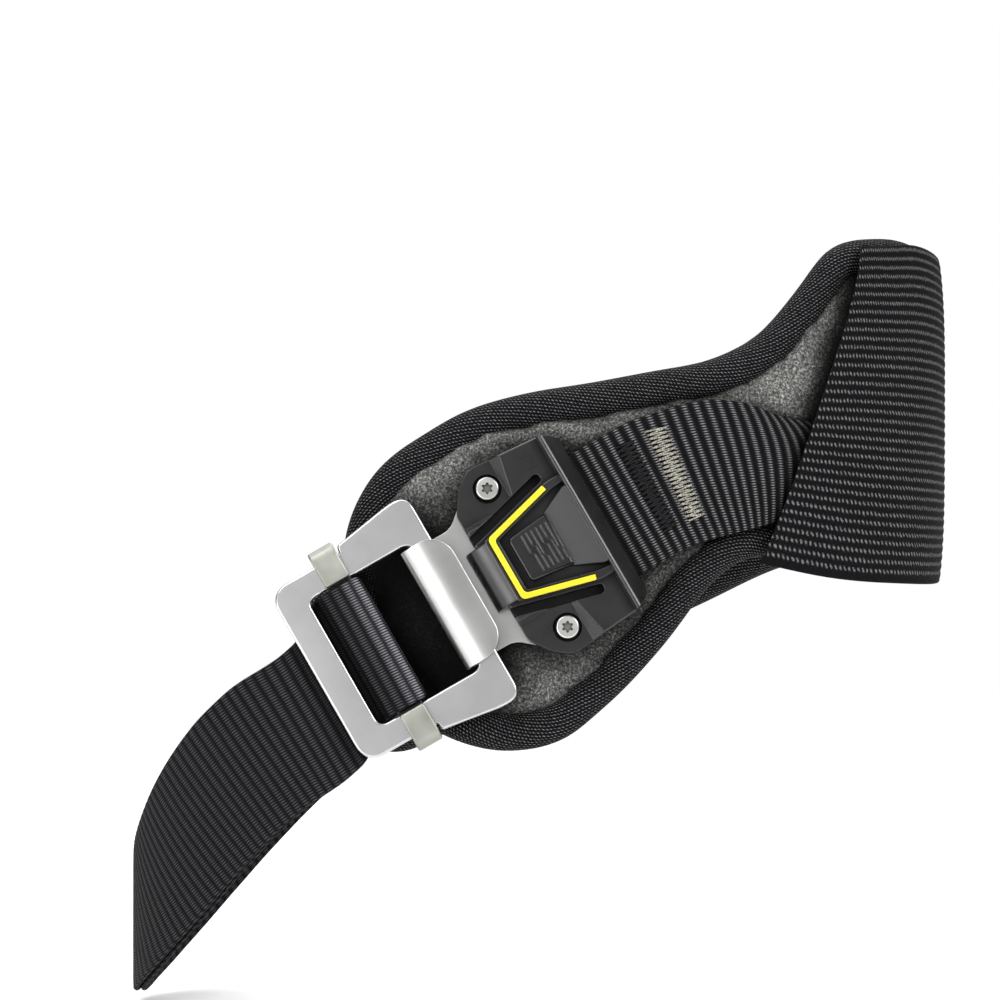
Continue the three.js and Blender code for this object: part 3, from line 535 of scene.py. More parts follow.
def moulded_plastic(name, base, rough, grit):
    """Injection-moulded plastic: satin, its edges rounded by the mould, with the faint grit of its steel."""
    made, tree, shader = material(name, IOR=1.5)
    spot = add(tree, "TexCoord").outputs["Object"]
    broad = noise(spot, 1 / (7 * MM), 2)
    low, high = base
    tree.links.new(ramp(broad, (0.3, low), (0.7, high)), shader.inputs["Base Color"])
    gloss = add(tree, "MapRange", {0: broad, 1: 0.3, 2: 0.7, 3: rough * 0.9, 4: rough * 1.1}).outputs[0]
    tree.links.new(gloss, shader.inputs["Roughness"])
    # Reflections dimmed where the plastic lies close to others: painted shade
    shine = maths("MULTIPLY", openness(tree, reach=3.5, power=2), 0.62)
    tree.links.new(shine, shader.inputs["Specular IOR Level"])
    edges = add(tree, "Bevel", {"Radius": 0.5 * MM}, samples=8).outputs[0]
    fine = noise(spot, 1 / (0.3 * MM), 2)
    raise_grain(shader, fine, strength=0.4, depth=grit, Normal=edges)
    return made


def spun_thread(name, dark, light):
    """Spun sewing thread: matte with small light fibres."""
    made, tree, shader = material(name, Roughness=0.7, Specular_IOR_Level=0.1)
    fibre = noise(add(tree, "TexCoord").outputs["Object"], 1 / (0.5 * MM), 3)
    tree.links.new(ramp(fibre, (0.35, dark), (0.65, light)), shader.inputs["Base Color"])
    return made


def place(piece, finish, slot, *nodes, degrees=35):
    """Gives a finished piece its material and its place in the part."""
    piece.data.materials.clear()
    piece.data.materials.append(finish)
    smooth(piece, degrees)
    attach(piece, "root")
    if nodes:
        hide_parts(*nodes)
    return piece


# Webbing

def rib_relief(height):
    """Rounded ribs across the band, fading at its edges."""
    def relief(along, across):
        edge = np.clip((WEB_WIDTH / 2 - np.abs(across)) / 1.6, 0, 1)
        return height * (np.abs(np.sin(np.pi * along / RIB)) ** 0.8 - 0.5) * edge
    return relief


WEB_PLACES = np.linspace(-WEB_WIDTH / 2, WEB_WIDTH / 2, 9)
WEB_COLUMNS, RIB_STEPS = 11, 6


def fine_rows(rows, step):
    """Rows of a table with smooth rows between them."""
    keys = running(np.hypot(*np.diff(rows[:, :2], axis=0).T))
    return curve_through(keys, rows, np.linspace(0, keys[-1], int(keys[-1] / step) + 1))


def make_leg_strap():
    """The strap round the thigh, under the frame's left bar, round the slider and back out as a tail."""
    strand = fine_rows(STRAP_ROWS, ROUTE_STEP)
    tail = fine_rows(STRAP_ROWS[-TAIL_ROWS:], ROUTE_STEP)[::-1]
    u, w, shift = SLIDER_ROUTE.T[:, :, None]
    stations = np.concatenate([row_points(strand, WEB_PLACES, strand[:, [3]]),
                               on_buckle(u, shift + WEB_PLACES, w),
                               row_points(tail, WEB_PLACES, tail[:, [3]] + TAIL_LIFT)])
    band = Band(stations, WEB_PLACES, RIB / RIB_STEPS)
    piece = band.cloth("leg_webbing", WEB_WIDTH / 2, WEB_HALF, WEB_COLUMNS, rib_relief(height=0.4))
    # Marks a painted highlight on the ribs round the strap's bend over the slider
    from_bend = band.surface[:, len(WEB_PLACES) // 2] - on_buckle(HIGHLIGHT_U, 0, HIGHLIGHT_W)
    bend = np.linalg.norm(from_bend, axis=1).argmin()
    uv = np.empty(len(piece.data.loops) * 2)
    piece.data.uv_layers.active.data.foreach_get("uv", uv)
    painted_highlight = np.exp(-((uv[::2] - band.along[bend]) / HIGHLIGHT_REACH) ** 2)
    piece.data.attributes.new("painted_highlight", "FLOAT", "CORNER").data.foreach_set("value", painted_highlight)
    place(piece, leg_web, "webbing", "leg_strap", degrees=60)


def make_buckle_strap():
    """The strap from under the shell, through the hook plate's slot and back over itself."""
    rows = fine_rows(PLY_ROWS, ROUTE_STEP)
    u, w, shift = FOLD_ROUTE.T[:, :, None]

    def ply(rows, lift):
        """One ply, its edges curled down and its ribs bowed by the shell's mouth."""
        reach = WEB_PLACES / (WEB_WIDTH / 2)
        share = np.where(reach > 0, rows[:, [5]], rows[:, [6]])
        lean, rise = rows[:, [2]], 1 / np.hypot(1, rows[:, [2]])
        out = WEB_PLACES * share * rise
        curl = 4 * (1 - share) * reach ** 4
        bow = rows[:, [7]] * reach ** 2
        return on_loop(rows[:, [0]] + lean * out - bow, rows[:, [1]] + out, lift - curl)

    stations = np.concatenate([ply(rows[::-1], rows[::-1, [3]]), on_buckle(u, shift + WEB_PLACES, w),
                               ply(rows, rows[:, [4]])])
    band = Band(stations, WEB_PLACES, RIB / RIB_STEPS)
    piece = band.cloth("buckle_webbing", WEB_WIDTH / 2, WEB_HALF, WEB_COLUMNS, rib_relief(height=0.5))
    place(piece, buckle_web, "webbing", "buckle_strap", degrees=60)
    return band, piece


def stitch(name, band, start, pitch, radius, lift, finish):
    """A bar tack: one thread that zigzags across a band, from a start along it."""
    end = start + TACK_LENGTH
    count = int((TACK_HIGH - TACK_LOW) / pitch)
    parts = (0, 0.06, 0.5, 0.94, 1)
    curve = bpy.data.curves.new(name, "CURVE")
    curve.dimensions, curve.bevel_depth, curve.bevel_resolution = "3D", radius * MM, 2
    curve.use_fill_caps = True
    path = curve.splines.new("POLY")
    path.points.add(2 * count * len(parts) - 1)
    spot = 0
    for i in range(2 * count):
        across = TACK_LOW + i * pitch / 2
        ends = (start, end) if i % 2 == 0 else (end, start)
        wobble = 0.4 * math.sin(2.3 * i)
        for part in parts:
            along = ends[0] + (ends[1] - ends[0]) * part + wobble
            height = lift - 0.9 * abs(2 * part - 1) ** 12
            path.points[spot].co = (*band.at(along, across + part * pitch / 2, height), 1)
            spot += 1
    return place(as_mesh(curve), finish, "webbing", degrees=80)


# Pad, roll and shell

def pad_edge(inset):
    """Outline of the pad laid flat, moved in from its edge, with the inward direction at each point."""
    rows = fine_rows(PAD_ROWS, 5)

    def cap(row, radius, way):
        """Rows of a rounded end."""
        turn = np.linspace(0, np.pi / 2, 13)[1:, None]
        rise = 1 / np.hypot(1, row[4])
        move = way * radius * np.sin(turn) * rise
        return np.concatenate([row[0] + move, row[1] - move * row[4], row[2:4] * np.cos(turn),
                               row[4] + 0 * move], axis=1)

    rows = np.concatenate([cap(rows[0], FRONT_CAP, -1)[::-1], rows, cap(rows[-1], BACK_CAP, 1)])
    rise = 1 / np.hypot(1, rows[:, 4])

    def edge(distance):
        """Points at a distance from each row's middle."""
        return np.stack([rows[:, 0] + rows[:, 4] * rise * distance, rows[:, 1] + rise * distance], axis=1)

    path = np.concatenate([edge(rows[:, 2]), edge(-rows[:, 3])[-2:0:-1]])
    ahead = np.roll(path, -1, axis=0) - np.roll(path, 1, axis=0)
    ahead /= np.hypot(*ahead.T)[:, None]
    inward = np.stack([ahead[:, 1], -ahead[:, 0]], axis=1)
    return path + inward * inset, inward


def swell(piece, pressure, cap):
    """Blows a padded mesh up as cloth and keeps each point within a cap, in metres, of where it was."""
    start = spots_of(piece)
    pick(piece)
    bpy.ops.object.modifier_add(type="CLOTH")
    cloth = piece.modifiers[-1]
    cloth.settings.quality = 6
    cloth.settings.use_pressure = True
    cloth.settings.uniform_pressure_force = pressure
    cloth.settings.effector_weights.gravity = 0
    cloth.collision_settings.use_collision = False
    for step in range(1, SWELL_FRAMES + 1):
        bpy.context.scene.frame_set(step)
    bpy.ops.object.modifier_apply(modifier=cloth.name)
    bpy.context.scene.frame_set(1)
    move = spots_of(piece) - start
    far = np.linalg.norm(move, axis=1, keepdims=True)
    move *= np.minimum(1, cap / np.maximum(far, 1e-9))
    piece.data.vertices.foreach_set("co", (start + move).ravel())
    piece.data.update()


def shade_window(piece):
    """Marks how far a piece's outer face lies behind the frame's window, for its painted shade."""
    spots = spots_of(piece)
    local = np.append(spots, np.ones((len(spots), 1)), axis=1) @ np.array(BUCKLE.inverted()).T / MM
    u, v, w = local[:, :3].T
    past_end = np.maximum(0, np.maximum(WINDOW_LEFT - u, u - WINDOW_RIGHT))
    past_side = np.maximum(0, np.abs(v) - WINDOW_HALF)
    shade = np.clip(1 - np.hypot(past_end, past_side) / WINDOW_FADE, 0, 1)
    shade *= np.clip((w - SHADE_FLOOR) / SHADE_RISE, 0, 1)
    piece.data.attributes.new("shaded", "FLOAT", "POINT").data.foreach_set("value", shade)


def make_leg_pad():
    """The padded band: the part's own pad, run on under the roll, swelled and smoothed."""
    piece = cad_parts["leg_pad"].copy()
    piece.data = piece.data.copy()
    piece.name = piece.data.name = "leg_pad_suede"
    for key in list(piece.keys()):
        del piece[key]
    bpy.context.scene.collection.objects.link(piece)
    piece.parent = None
    edit(piece, (bpy.ops.mesh.remove_doubles, {"threshold": 1e-6}))
    finish_with(piece, "REMESH", mode="VOXEL", voxel_size=PAD_VOXEL * MM)
    spots, normals = spots_of(piece), spots_of(piece, "normal")
    share = spots[:, :2] / MM / [HALF_WIDTH, HALF_DEPTH]
    out = np.sign(share) * np.abs(share) ** (PLAN_POWER - 1) / [HALF_WIDTH, HALF_DEPTH]
    out = np.append(out / np.linalg.norm(out, axis=1, keepdims=True), np.zeros((len(out), 1)), axis=1)
    spots += PAD_TUCK * MM * (normals - out * (normals * out).sum(axis=1, keepdims=True))
    piece.data.vertices.foreach_set("co", spots.ravel())
    swell(piece, pressure=4.0, cap=1.2 * MM)
    finish_with(piece, "SUBSURF", levels=1, render_levels=1)
    shade_window(piece)
    place(piece, suede, "pad_face", "leg_pad", degrees=80)


def make_pad_binding():
    """The padded roll all round the pad's edge, with tucks along its inner side."""
    path, inward = pad_edge(ROLL_WIDTH / 2)
    path, inward = (np.concatenate([grid, grid[:1]]) for grid in (path, inward))
    along = running(np.hypot(*np.diff(path, axis=0).T))
    fine = np.linspace(0, along[-1], int(along[-1] / ROLL_STEP) + 1)
    path, inward = (np.stack([np.interp(fine, along, row) for row in grid.T], axis=1)
                    for grid in (path, inward))
    turn = np.linspace(0, 2 * np.pi, 21)
    tucks = round(along[-1] / ROLL_TUCK)
    pucker = ROLL_PUCKER * np.sin(2 * np.pi * tucks * fine / along[-1])[:, None]
    pucker = pucker * np.maximum(0, np.cos(turn)) ** 3
    side = (ROLL_WIDTH / 2 - ROLL_SLIM + pucker) * np.cos(turn)
    lift = -PAD_THICKNESS / 2 + (ROLL_THICKNESS / 2 - ROLL_SLIM + pucker) * np.sin(turn)
    spot = path[:, None] + inward[:, None] * side[..., None]
    points = on_loop(spot[..., 0], spot[..., 1], lift)
    piece = wrap_grid("pad_roll", points, fine, turn * (ROLL_WIDTH + ROLL_THICKNESS) / 4)
    swell(piece, pressure=3.0, cap=0.9 * MM)
    finish_with(piece, "SUBSURF", levels=1, render_levels=1)
    shade_window(piece)
    place(piece, roll_weave, "pad_roll", "pad_binding", degrees=80)


def make_outer_shell():
    """The wide woven band over the pad, its edges drawn down to the roll."""
    rows = fine_rows(SHELL_ROWS, 6)
    share = np.linspace(-1, 1, 33)
    width = np.where(share > 0, rows[:, [2]], rows[:, [3]]) * share
    lift = SHELL_EDGE_LIFT + rows[:, [5]] * (1 - share ** 4) + SHELL_MIDDLE
    stations = row_points(rows[:, [0, 1, 4]], width, lift)
    half = float(rows[:, 2:4].mean())
    band = Band(stations, share * half, SHELL_STEP)

    def rows_of_weave(along, across):
        """Rounded rows along the shell, fading at its edges."""
        edge = np.clip((half - np.abs(across)) / 3, 0, 1)
        return SHELL_RELIEF * (np.abs(np.sin(np.pi * across / SHELL_ROW)) - 0.5) * edge + 0 * along

    piece = band.cloth("shell_cloth", half, SHELL_HALF, SHELL_COLUMNS, rows_of_weave)
    place(piece, shell_weave, "shell_weave", "outer_shell", degrees=70)


# Buckle, in its own frame until it is placed

def rounded(corners, steps=8):
    """Outline through corners given as along, across and radius."""
    points = []
    for i, (u, v, radius) in enumerate(corners):
        here = Vector((u, v))
        beside = [Vector(corners[k % len(corners)][:2]) for k in (i - 1, i + 1)]
        ends = [here + (other - here).normalized() * radius for other in beside]
        for t in (np.linspace(0, 1, steps) if radius else [0.5]):
            points.append(ends[0] * (1 - t) ** 2 + here * 2 * t * (1 - t) + ends[1] * t * t)
    return points


def mirrored(half):
    """Corners of the half above the axis, given from left to right, with the half below it."""
    return [(u, -v, radius) for u, v, radius in half] + list(reversed(half))


def flat_plate(name, outlines, low, high, edge=0.0, matrix=None):
    """A flat plate cut to outlines in millimetres, first the outside and then holes, with rounded edges."""
    curve = bpy.data.curves.new(name, "CURVE")
    curve.dimensions, curve.fill_mode = "2D", "BOTH"
    curve.extrude, curve.bevel_depth, curve.offset = ((high - low) / 2 - edge) * MM, edge * MM, -edge * MM
    curve.bevel_resolution = 3
    for outline in outlines:
        path = curve.splines.new("POLY")
        path.points.add(len(outline) - 1)
        for point, spot in zip(path.points, outline):
            point.co = (spot[0] * MM, spot[1] * MM, 0, 1)
        path.use_cyclic_u = True
    piece = as_mesh(curve)
    piece.data.transform(Matrix.Translation((0, 0, (low + high) / 2 * MM)))
    if matrix:
        piece.data.transform(matrix)
    edit(piece, (bpy.ops.mesh.remove_doubles, {"threshold": 2e-6}), OUTWARD)
    return piece


def drum(radius, low, high, u, v, sides=40):
    """A round tool standing on the buckle."""
    bpy.ops.mesh.primitive_cylinder_add(vertices=sides, radius=radius * MM, depth=(high - low) * MM,
                                        location=(u * MM, v * MM, (low + high) / 2 * MM))
    bpy.ops.object.transform_apply()
    return bpy.context.object


def block(left, right, near, far, low, high):
    """A box between bounds along, across and out of the buckle."""
    middle = ((left + right) / 2 * MM, (near + far) / 2 * MM, (low + high) / 2 * MM)
    size = ((right - left) * MM, (far - near) * MM, (high - low) * MM)
    bpy.ops.mesh.primitive_cube_add(size=1, location=middle, scale=size)
    bpy.ops.object.transform_apply()
    return bpy.context.object


def onto_buckle(piece, name, finish, slot, *nodes, degrees=35):
    """Moves a piece from the buckle's frame to its place on the loop, and shades its flats evenly."""
    piece.name = piece.data.name = name
    piece.data.transform(BUCKLE)
    place(piece, finish, slot, *nodes, degrees=degrees)
    finish_with(piece, "WEIGHTED_NORMAL", keep_sharp=True, weight=100)


# Levels out of the pad: the frame, and the latch's underside, wings, tongue and rim
FRAME_LOW, FRAME_HIGH = 5.7, 8.7
BODY_LOW, WING_TOP, TONGUE_TOP, RIM_TOP, RIM_FLOOR = 5.3, 11.5, 13.2, 14.4, 8.4
# Latch's right end: the ridge of its rim, and the end itself
RIDGE, BODY_END = 54.5, 60.5
# Screws: place and seat, and radii of the head, shank, well and bore
SCREW_U, SCREW_V, SCREW_SEAT = 33.4, 24.8, 8.6
SCREW_HEAD, SCREW_SHANK, SCREW_WELL, SCREW_BORE = 3.6, 1.8, 4.5, 2.1
LINE_WIDTH, GROOVE_WIDTH, SLOT_WIDTH = 1.8, 2.2, 3.1
# Hook: half width, rounding of its corners and the end of its lip
HOOK_HALF, HOOK_CORNER, HOOK_END = 20.7, 8.0, 14.4
# Hook plate: its right end, the start of its bend, its level and the steps between the two
PLATE_END, PLATE_BEND, PLATE_LEVEL, PLATE_STEPS = 58.5, 4.2, 4.0, 60
# These stand an outline on its edge, as a profile along or across the buckle
PROFILE_ALONG = Matrix(((1, 0, 0, 0), (0, 0, -1, 0), (0, 1, 0, 0), (0, 0, 0, 1)))
PROFILE_ACROSS = Matrix(((0, 0, 1, 0), (1, 0, 0, 0), (0, 1, 0, 0), (0, 0, 0, 1)))


def make_frame():
    """The flat frame, wider at its hook end, with its window."""
    outside = mirrored([(-41.5, 30.5, 7), (-16.2, 30.5, 0.6), (-15.8, 32.8, 1), (3.6, 36, 2), (10.8, 36, 5)])
    window = mirrored([(WINDOW_LEFT, WINDOW_HALF, 3), (WINDOW_RIGHT, WINDOW_HALF, 3.5)])
    piece = flat_plate("frame", [rounded(outside, 10), rounded(window, 10)], FRAME_LOW, FRAME_HIGH, 0.7)
    onto_buckle(piece, "frame_plate", frame_steel, "frame_steel", "adjuster_frame")


def make_slider():
    """The bar across the window, with a clip round each cheek of the frame."""
    half = [(21.6, 8.4, 1.2), (21.6, 5.4, 0.2), (31.6, 5.4, 0.4), (31.6, 9, 0.4), (22.7, 9, 0.4),
            (22.7, 11, 1), (35, 11, 4.2), (35, 3.4, 1.5)]
    section = half + [(-v, w, radius) for v, w, radius in reversed(half)]
    piece = flat_plate("slider", [rounded(section, 10)], -25.2, -16.8, 0.6, PROFILE_ACROSS)
    onto_buckle(piece, "slider_casting", cast_steel, "cast_steel", "slider_bar")


def make_hook_plate():
    """The plate rolled into a hook at its left end, with a slot for the buckle strap at its right end."""
    base = [(PLATE_END, 24), (56.5, 27), (27, 27), (24.5, 26), (21.5, 23.6), (18.5, 21), (16, 20.1),
            (12, 20), (PLATE_BEND, 20.4)]
    base_u, base_half = np.array(base).T
    turn = np.linspace(0, np.pi / 2, 13)[1:]
    lip = np.linspace(8, HOOK_END, 18)[1:]
    u = np.concatenate([np.linspace(PLATE_END, PLATE_BEND, PLATE_STEPS), PLATE_BEND - 3.2 * np.sin(turn),
                        8 - 7 * np.cos(turn), lip])
    w = np.concatenate([np.full(PLATE_STEPS, PLATE_LEVEL), 7.2 - 3.2 * np.cos(turn),
                        7.2 + 3.8 * np.sin(turn), 11 - 0.7 * ((lip - 8) / 6.4) ** 2])
    half = np.interp(u, base_u[::-1], base_half[::-1])
    half[PLATE_STEPS:] = HOOK_HALF
    top = PLATE_STEPS + len(turn)
    into_corner = np.clip(u[top:] - HOOK_END + HOOK_CORNER, 0, HOOK_CORNER)
    half[top:] = HOOK_HALF - HOOK_CORNER + np.sqrt(HOOK_CORNER ** 2 - into_corner ** 2)
    share = np.linspace(-1, 1, 33)
    points = np.stack(np.broadcast_arrays(u[:, None], half[:, None] * share, w[:, None]), axis=-1) * MM
    along = running(np.hypot(np.diff(u), np.diff(w)))
    piece = wrap_grid("hook", points, along, share * HOOK_HALF)
    finish_with(piece, "SOLIDIFY", thickness=2 * MM, offset=0)
    edit(piece, OUTWARD)
    round_edges(piece, 0.6)
    cut(piece, block(51.2, 55, -22.4, 22.4, 2, 6))
    onto_buckle(piece, "hook_sheet", hook_steel, "hook_steel", "hook_plate", degrees=40)


def strip(corners, width):
    """Outline of a strip of even width along a bent line given as along, across and corner radius."""
    line = [Vector((u, v)) for u, v, _ in corners]
    sides = [[], []]
    for i, here in enumerate(line):
        before = (here - line[i - 1]).normalized() if i else (line[1] - here).normalized()
        after = (line[i + 1] - here).normalized() if i + 1 < len(line) else before
        mitre = (before + after).normalized()
        normal = Vector((-mitre.y, mitre.x)) / max(mitre.dot(before), 0.3)
        for side, way in zip(sides, (1, -1)):
            spot = here + normal * way * width / 2
            side.append((spot.x, spot.y, corners[i][2]))
    return rounded(sides[1] + sides[0][::-1])


# Middle of the yellow line round the tongue, as along, across and radius
LINE = [(48.6, -16, 0.4), (26.3, -10.1, 1.4), (26.3, 10.1, 1.4), (48.6, 16, 0.4)]


def frustum(low, high, floor, top, pinch):
    """A box whose floor and top have their own bounds along and across. pinch moves the top's right end in,
    next to the axis."""
    tool = block(-1, 1, -1, 1, -1, 1)
    for vertex in tool.data.vertices:
        left, right, near, far = high if vertex.co.z > 0 else low
        v = far if vertex.co.y > 0 else near
        if vertex.co.z > 0 and abs(v) == min(abs(near), abs(far)):
            right -= pinch
        u, w = right if vertex.co.x > 0 else left, top if vertex.co.z > 0 else floor
        vertex.co = Vector((u, v, w)) * MM
    return tool


def tilted(middle, rise):
    """Moves a plate along the buckle and slopes it by a rise along it."""
    slope = Matrix(((1, 0, 0, 0), (0, 1, 0, 0), (rise, 0, 1, 0), (0, 0, 0, 1)))
    return Matrix.Translation((middle * MM, 0, 0)) @ slope


def latch_rim(wings):
    """The rim over the latch's right end: a ridge with a steep slope down from it."""
    slope = [(RIDGE, RIM_FLOOR), (RIDGE, RIM_TOP - 0.5), (RIDGE + 0.4, RIM_TOP - 0.1), (RIDGE + 1, RIM_TOP),
             (RIDGE + 1.6, RIM_TOP - 0.3), (RIDGE + 2.1, RIM_TOP - 0.8), (BODY_END - 0.3, RIM_FLOOR + 0.8),
             (BODY_END, RIM_FLOOR)]
    rim = flat_plate("rim", [slope], -33, 33, 0, PROFILE_ALONG)
    join_in(rim, flat_plate("ends", [rounded(wings)], BODY_LOW, RIM_TOP + 1), "INTERSECT")
    return rim


def latch_grip():
    """The plateau before the rim, and the thumb grip with its ridges."""
    plateau = mirrored([(-6, 9, 0.6), (4.2, 13.6, 0.6), (6, 13.6, 0.6)])
    grip = mirrored([(-13.8, 7.4, 1.6), (0.5, 9, 0.4)])
    rising, falling = tilted(49.2, 0.2), tilted(44.5, -0.1)
    raised = [flat_plate("plateau", [rounded(plateau)], WING_TOP - 3, TONGUE_TOP - 0.4, 0.6, rising),
              flat_plate("grip", [rounded(grip)], WING_TOP - 2.4, TONGUE_TOP - 0.6, 0.7, falling)]
    for i in range(6):
        at, jog = 1.7 * i - 9.7, 2.5 * math.sin(2.2 * i)
        ridge = [(at, 6.6, 0), (at, jog + 0.6, 0), (at + 0.9, jog - 0.6, 0), (at + 0.9, -6.4, 0)]
        low, high = TONGUE_TOP - 1, TONGUE_TOP - 0.35
        raised.append(flat_plate("ridge", [strip(ridge, 0.35)], low, high, 0, falling))
    return raised


def make_latch():
    """The moulded latch: two wings for the screws, a sprung tongue between slots, a grip and a rim."""
    wings = mirrored([(20.8, 11.4, 0.4), (20.8, 22, 1.5), (25.5, 29, 2), (31, 33, 2.5), (55.5, 31, 2.5),
                      (BODY_END, 28, 2.5)])
    body = flat_plate("latch", [rounded(wings)], BODY_LOW, WING_TOP, 0.7)
    for way in (1, -1):
        low, high = sorted((way * 17, way * 40)), sorted((way * 15.4, way * 40))
        facet = frustum((15, 38.3, *low), (15, 44.5, *high), WING_TOP - 1.7, WING_TOP + 0.3, 5.4)
        cut(body, facet)
    tongue = mirrored([(24, 10.6, 0.6), (50, 17.4, 1), (RIDGE + 1, 17.4, 0.6)])
    join_in(body, flat_plate("tongue", [rounded(tongue)], WING_TOP - 4, TONGUE_TOP, 0.5), "UNION")
    nose = [(28, 13.2), (25.6, 13.2), (24.4, 13.1), (23.2, 12.87), (22, 12.5), (20.8, 11.98), (19.7, 11.3),
            (18.7, 10.4), (17.9, 9.3), (17.4, 8), (17.2, 6.2), (28, 6.2)]
    join_in(body, flat_plate("nose", [nose], -10.2, 10.2, 0.5, PROFILE_ALONG), "UNION")
    channel = mirrored([(28.1, 8.8, 1), (50, 14.6, 0.5), (56, 15.2, 0.5)])
    cut(body, flat_plate("channel", [rounded(channel)], TONGUE_TOP - 2, RIM_TOP))
    for way in (1, -1):
        slot = [(12, way * 10.9, 0.3), (22.6, way * 13.0, 0.6), (49.2, way * 20.0, 1.5)]
        cut(body, flat_plate("slot", [strip(slot, SLOT_WIDTH)], 7, RIM_TOP + 1))
        cut(body, drum(SCREW_WELL, SCREW_SEAT, RIM_TOP, SCREW_U, way * SCREW_V))
        cut(body, drum(SCREW_BORE, BODY_LOW - 1, SCREW_SEAT + 1, SCREW_U, way * SCREW_V, 24))
    cut(body, flat_plate("groove", [strip(LINE, GROOVE_WIDTH)], TONGUE_TOP - 1.3, RIM_TOP))
    cut(body, block(50.7, BODY_END + 1, -22.8, 22.8, BODY_LOW - 1, 7.9))
    cut(body, block(RIDGE + 0.3, BODY_END + 1, -40, 40, RIM_FLOOR + 0.3, RIM_TOP + 1))
    rim = latch_rim(wings)
    gather(body, rim, *latch_grip())
    onto_buckle(body, "latch_moulding", latch_black, "latch_black", "latch_body", degrees=16)


def make_latch_line():
    """The yellow line let into the tongue's edge."""
    piece = flat_plate("line", [strip(LINE, LINE_WIDTH)], TONGUE_TOP - 1, TONGUE_TOP + 0.5, 0.3)
    onto_buckle(piece, "yellow_line", line_yellow, "line_yellow", "latch_line")


def make_screw(name, way, node):
    """A star-drive screw with its shank."""
    head = drum(SCREW_HEAD, SCREW_SEAT + 0.3, SCREW_SEAT + 2.3, 0, 0, 48)
    round_edges(head, 0.55)
    turn = np.linspace(0, 2 * np.pi, 73)[:-1]
    reach = 1.55 + 0.33 * np.cos(6 * turn)
    star = list(zip(reach * np.cos(turn), reach * np.sin(turn)))
    cut(head, flat_plate("star", [star], SCREW_SEAT + 1, SCREW_SEAT + 4))
    join_in(head, drum(SCREW_SHANK, BODY_LOW, SCREW_SEAT + 0.6, 0, 0, 24), "UNION")
    head.data.transform(Matrix.Translation((SCREW_U * MM, way * SCREW_V * MM, 0)))
    onto_buckle(head, name, screw_steel, "screw_steel", node)


leg_web = ribbed_webbing("black polyester webbing", "#08080a", "#19191b", "#444446", fullness=0.8)
buckle_web = ribbed_webbing("grey-black polyester webbing", "#08080a", "#232325", "#767676", fullness=2.2)
shell_weave = dotted_weave("coarse polyamide weave", (SHELL_DASH, SHELL_ROW), slope=0,
                           sharpness=(1.8, 1.2), tones=("#0b0b0d", "#262628", "#6a6a68"), relief=0.3,
                           selvedge=42)
roll_weave = dotted_weave("fine polyamide weave", (ROLL_THREAD, ROLL_THREAD), slope=0.3,
                          sharpness=(2.2, 1.2), tones=("#08080a", "#1e1e21", "#6e6e6e"), relief=0.2,
                          selvedge=99)
suede = brushed_suede("grey synthetic suede")
frame_steel = worked_steel("satin stainless steel", ("#bcbcbd", "#c6c6c7"), rough=0.3)
cast_steel = worked_steel("blasted cast steel", ("#84857e", "#acada5"), rough=0.5, grain=0.7, depth=0.05,
                          shade=0.7)
hook_steel = worked_steel("polished stainless steel", ("#b6b6b5", "#c2c2c0"), rough=0.32)
screw_steel = worked_steel("zinc plated steel", ("#c4c4bf", "#e6e6e2"), rough=0.3, grain=0.3, depth=0.01,
                           shade=1.5)
latch_black = moulded_plastic("black glass-filled nylon", ("#08080a", "#111113"), rough=0.3, grit=0.008)
line_yellow = moulded_plastic("yellow acetal", ("#cfbd0d", "#dccb18"), rough=0.4, grit=0.01)
grey_thread = spun_thread("grey polyester thread", "#4c4a43", "#a8a69b")
black_thread = spun_thread("black polyester thread", "#060607", "#222224")

# Camera first: level, square to the front, with the span of its picture at the loop's front
IMAGE_SPAN, CAMERA_FAR, FRONT_Y = 308.6, 1150.0, -84.0
CENTRE_X, CENTRE_Z = -12.3, 30.9
bpy.ops.object.camera_add(location=(CENTRE_X * MM, (FRONT_Y - CAMERA_FAR) * MM, CENTRE_Z * MM),
                          rotation=(math.pi / 2, 0, 0))
camera = bpy.context.object
camera.data.lens = camera.data.sensor_width * CAMERA_FAR / IMAGE_SPAN
bpy.context.scene.camera = camera

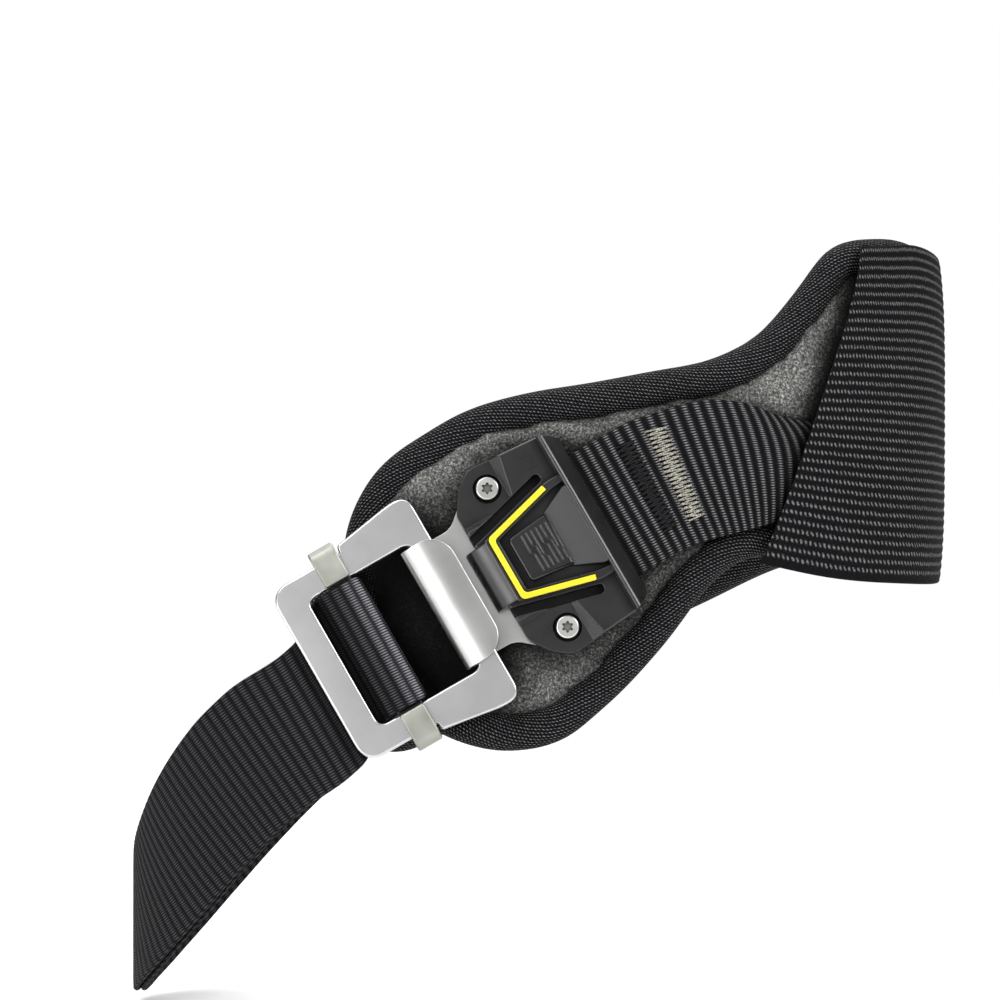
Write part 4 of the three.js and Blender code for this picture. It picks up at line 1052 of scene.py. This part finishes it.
make_leg_strap()
upper, webbing = make_buckle_strap()
rim_at = upper.along[-1] - RIM_TO_END
tacks = [stitch("tack_black", upper, rim_at + 9, pitch=1.5, radius=0.36, lift=1.2, finish=black_thread),
         stitch("tack_grey", upper, rim_at + 19, pitch=1.4, radius=0.3, lift=1.25, finish=grey_thread)]
make_leg_pad()
make_pad_binding()
make_outer_shell()
make_frame()
make_slider()
make_hook_plate()
make_latch()
make_latch_line()
make_screw("screw_top", 1, "screw_upper")
make_screw("screw_bottom", -1, "screw_lower")

# Studio: pale floor, white backdrop, dim white surroundings and six soft lamps
def screen(name, size, location, rotation, finish):
    """A flat plane of the studio."""
    bpy.ops.mesh.primitive_plane_add(size=size, location=location, rotation=rotation)
    bpy.ops.object.transform_apply()
    piece = bpy.context.object
    piece.name = name
    piece.data.materials.append(finish)


pale = material("pale floor", Base_Color=colour("#f4f4f4"), Roughness=0.9)[0]
white = material("white backdrop", Base_Color=colour("#000000"), Roughness=1.0, Emission_Color=(1, 1, 1, 1),
                 Emission_Strength=1.0)[0]
screen("floor", 3, (0, 0, cad_low.z - 0.004), (0, 0, 0), pale)
screen("backdrop", 8, (0, 2.6, 0), (math.pi / 2, 0, 0), white)

world = bpy.data.worlds.new("studio")
bpy.context.scene.world = world
world.use_nodes = True
surroundings = world.node_tree.nodes["Background"].inputs
surroundings["Color"].default_value = (1, 1, 1, 1)
surroundings["Strength"].default_value = 0.25

# Place and size in metres, power in watts
LAMPS = [((-0.7, -1.3, 0.12), 0.7, 4), ((-0.6, -0.7, 0.85), 0.6, 7), ((0.85, -0.7, 0.6), 0.6, 11),
         ((0, -1.5, 0.42), 0.8, 0.8), ((-0.46, -0.67, -0.1), 0.3, 1.6), ((0, 0.5, 1.9), 2.2, 50)]
AIM = Vector((0, -0.05, 0.02))
for spot, size, power in LAMPS:
    bpy.ops.object.light_add(type="AREA", location=spot)
    lamp = bpy.context.object
    lamp.data.size, lamp.data.energy = size, power
    lamp.rotation_euler = (AIM - Vector(spot)).to_track_quat("-Z", "Y").to_euler()

bpy.context.scene.view_settings.view_transform = "Standard"
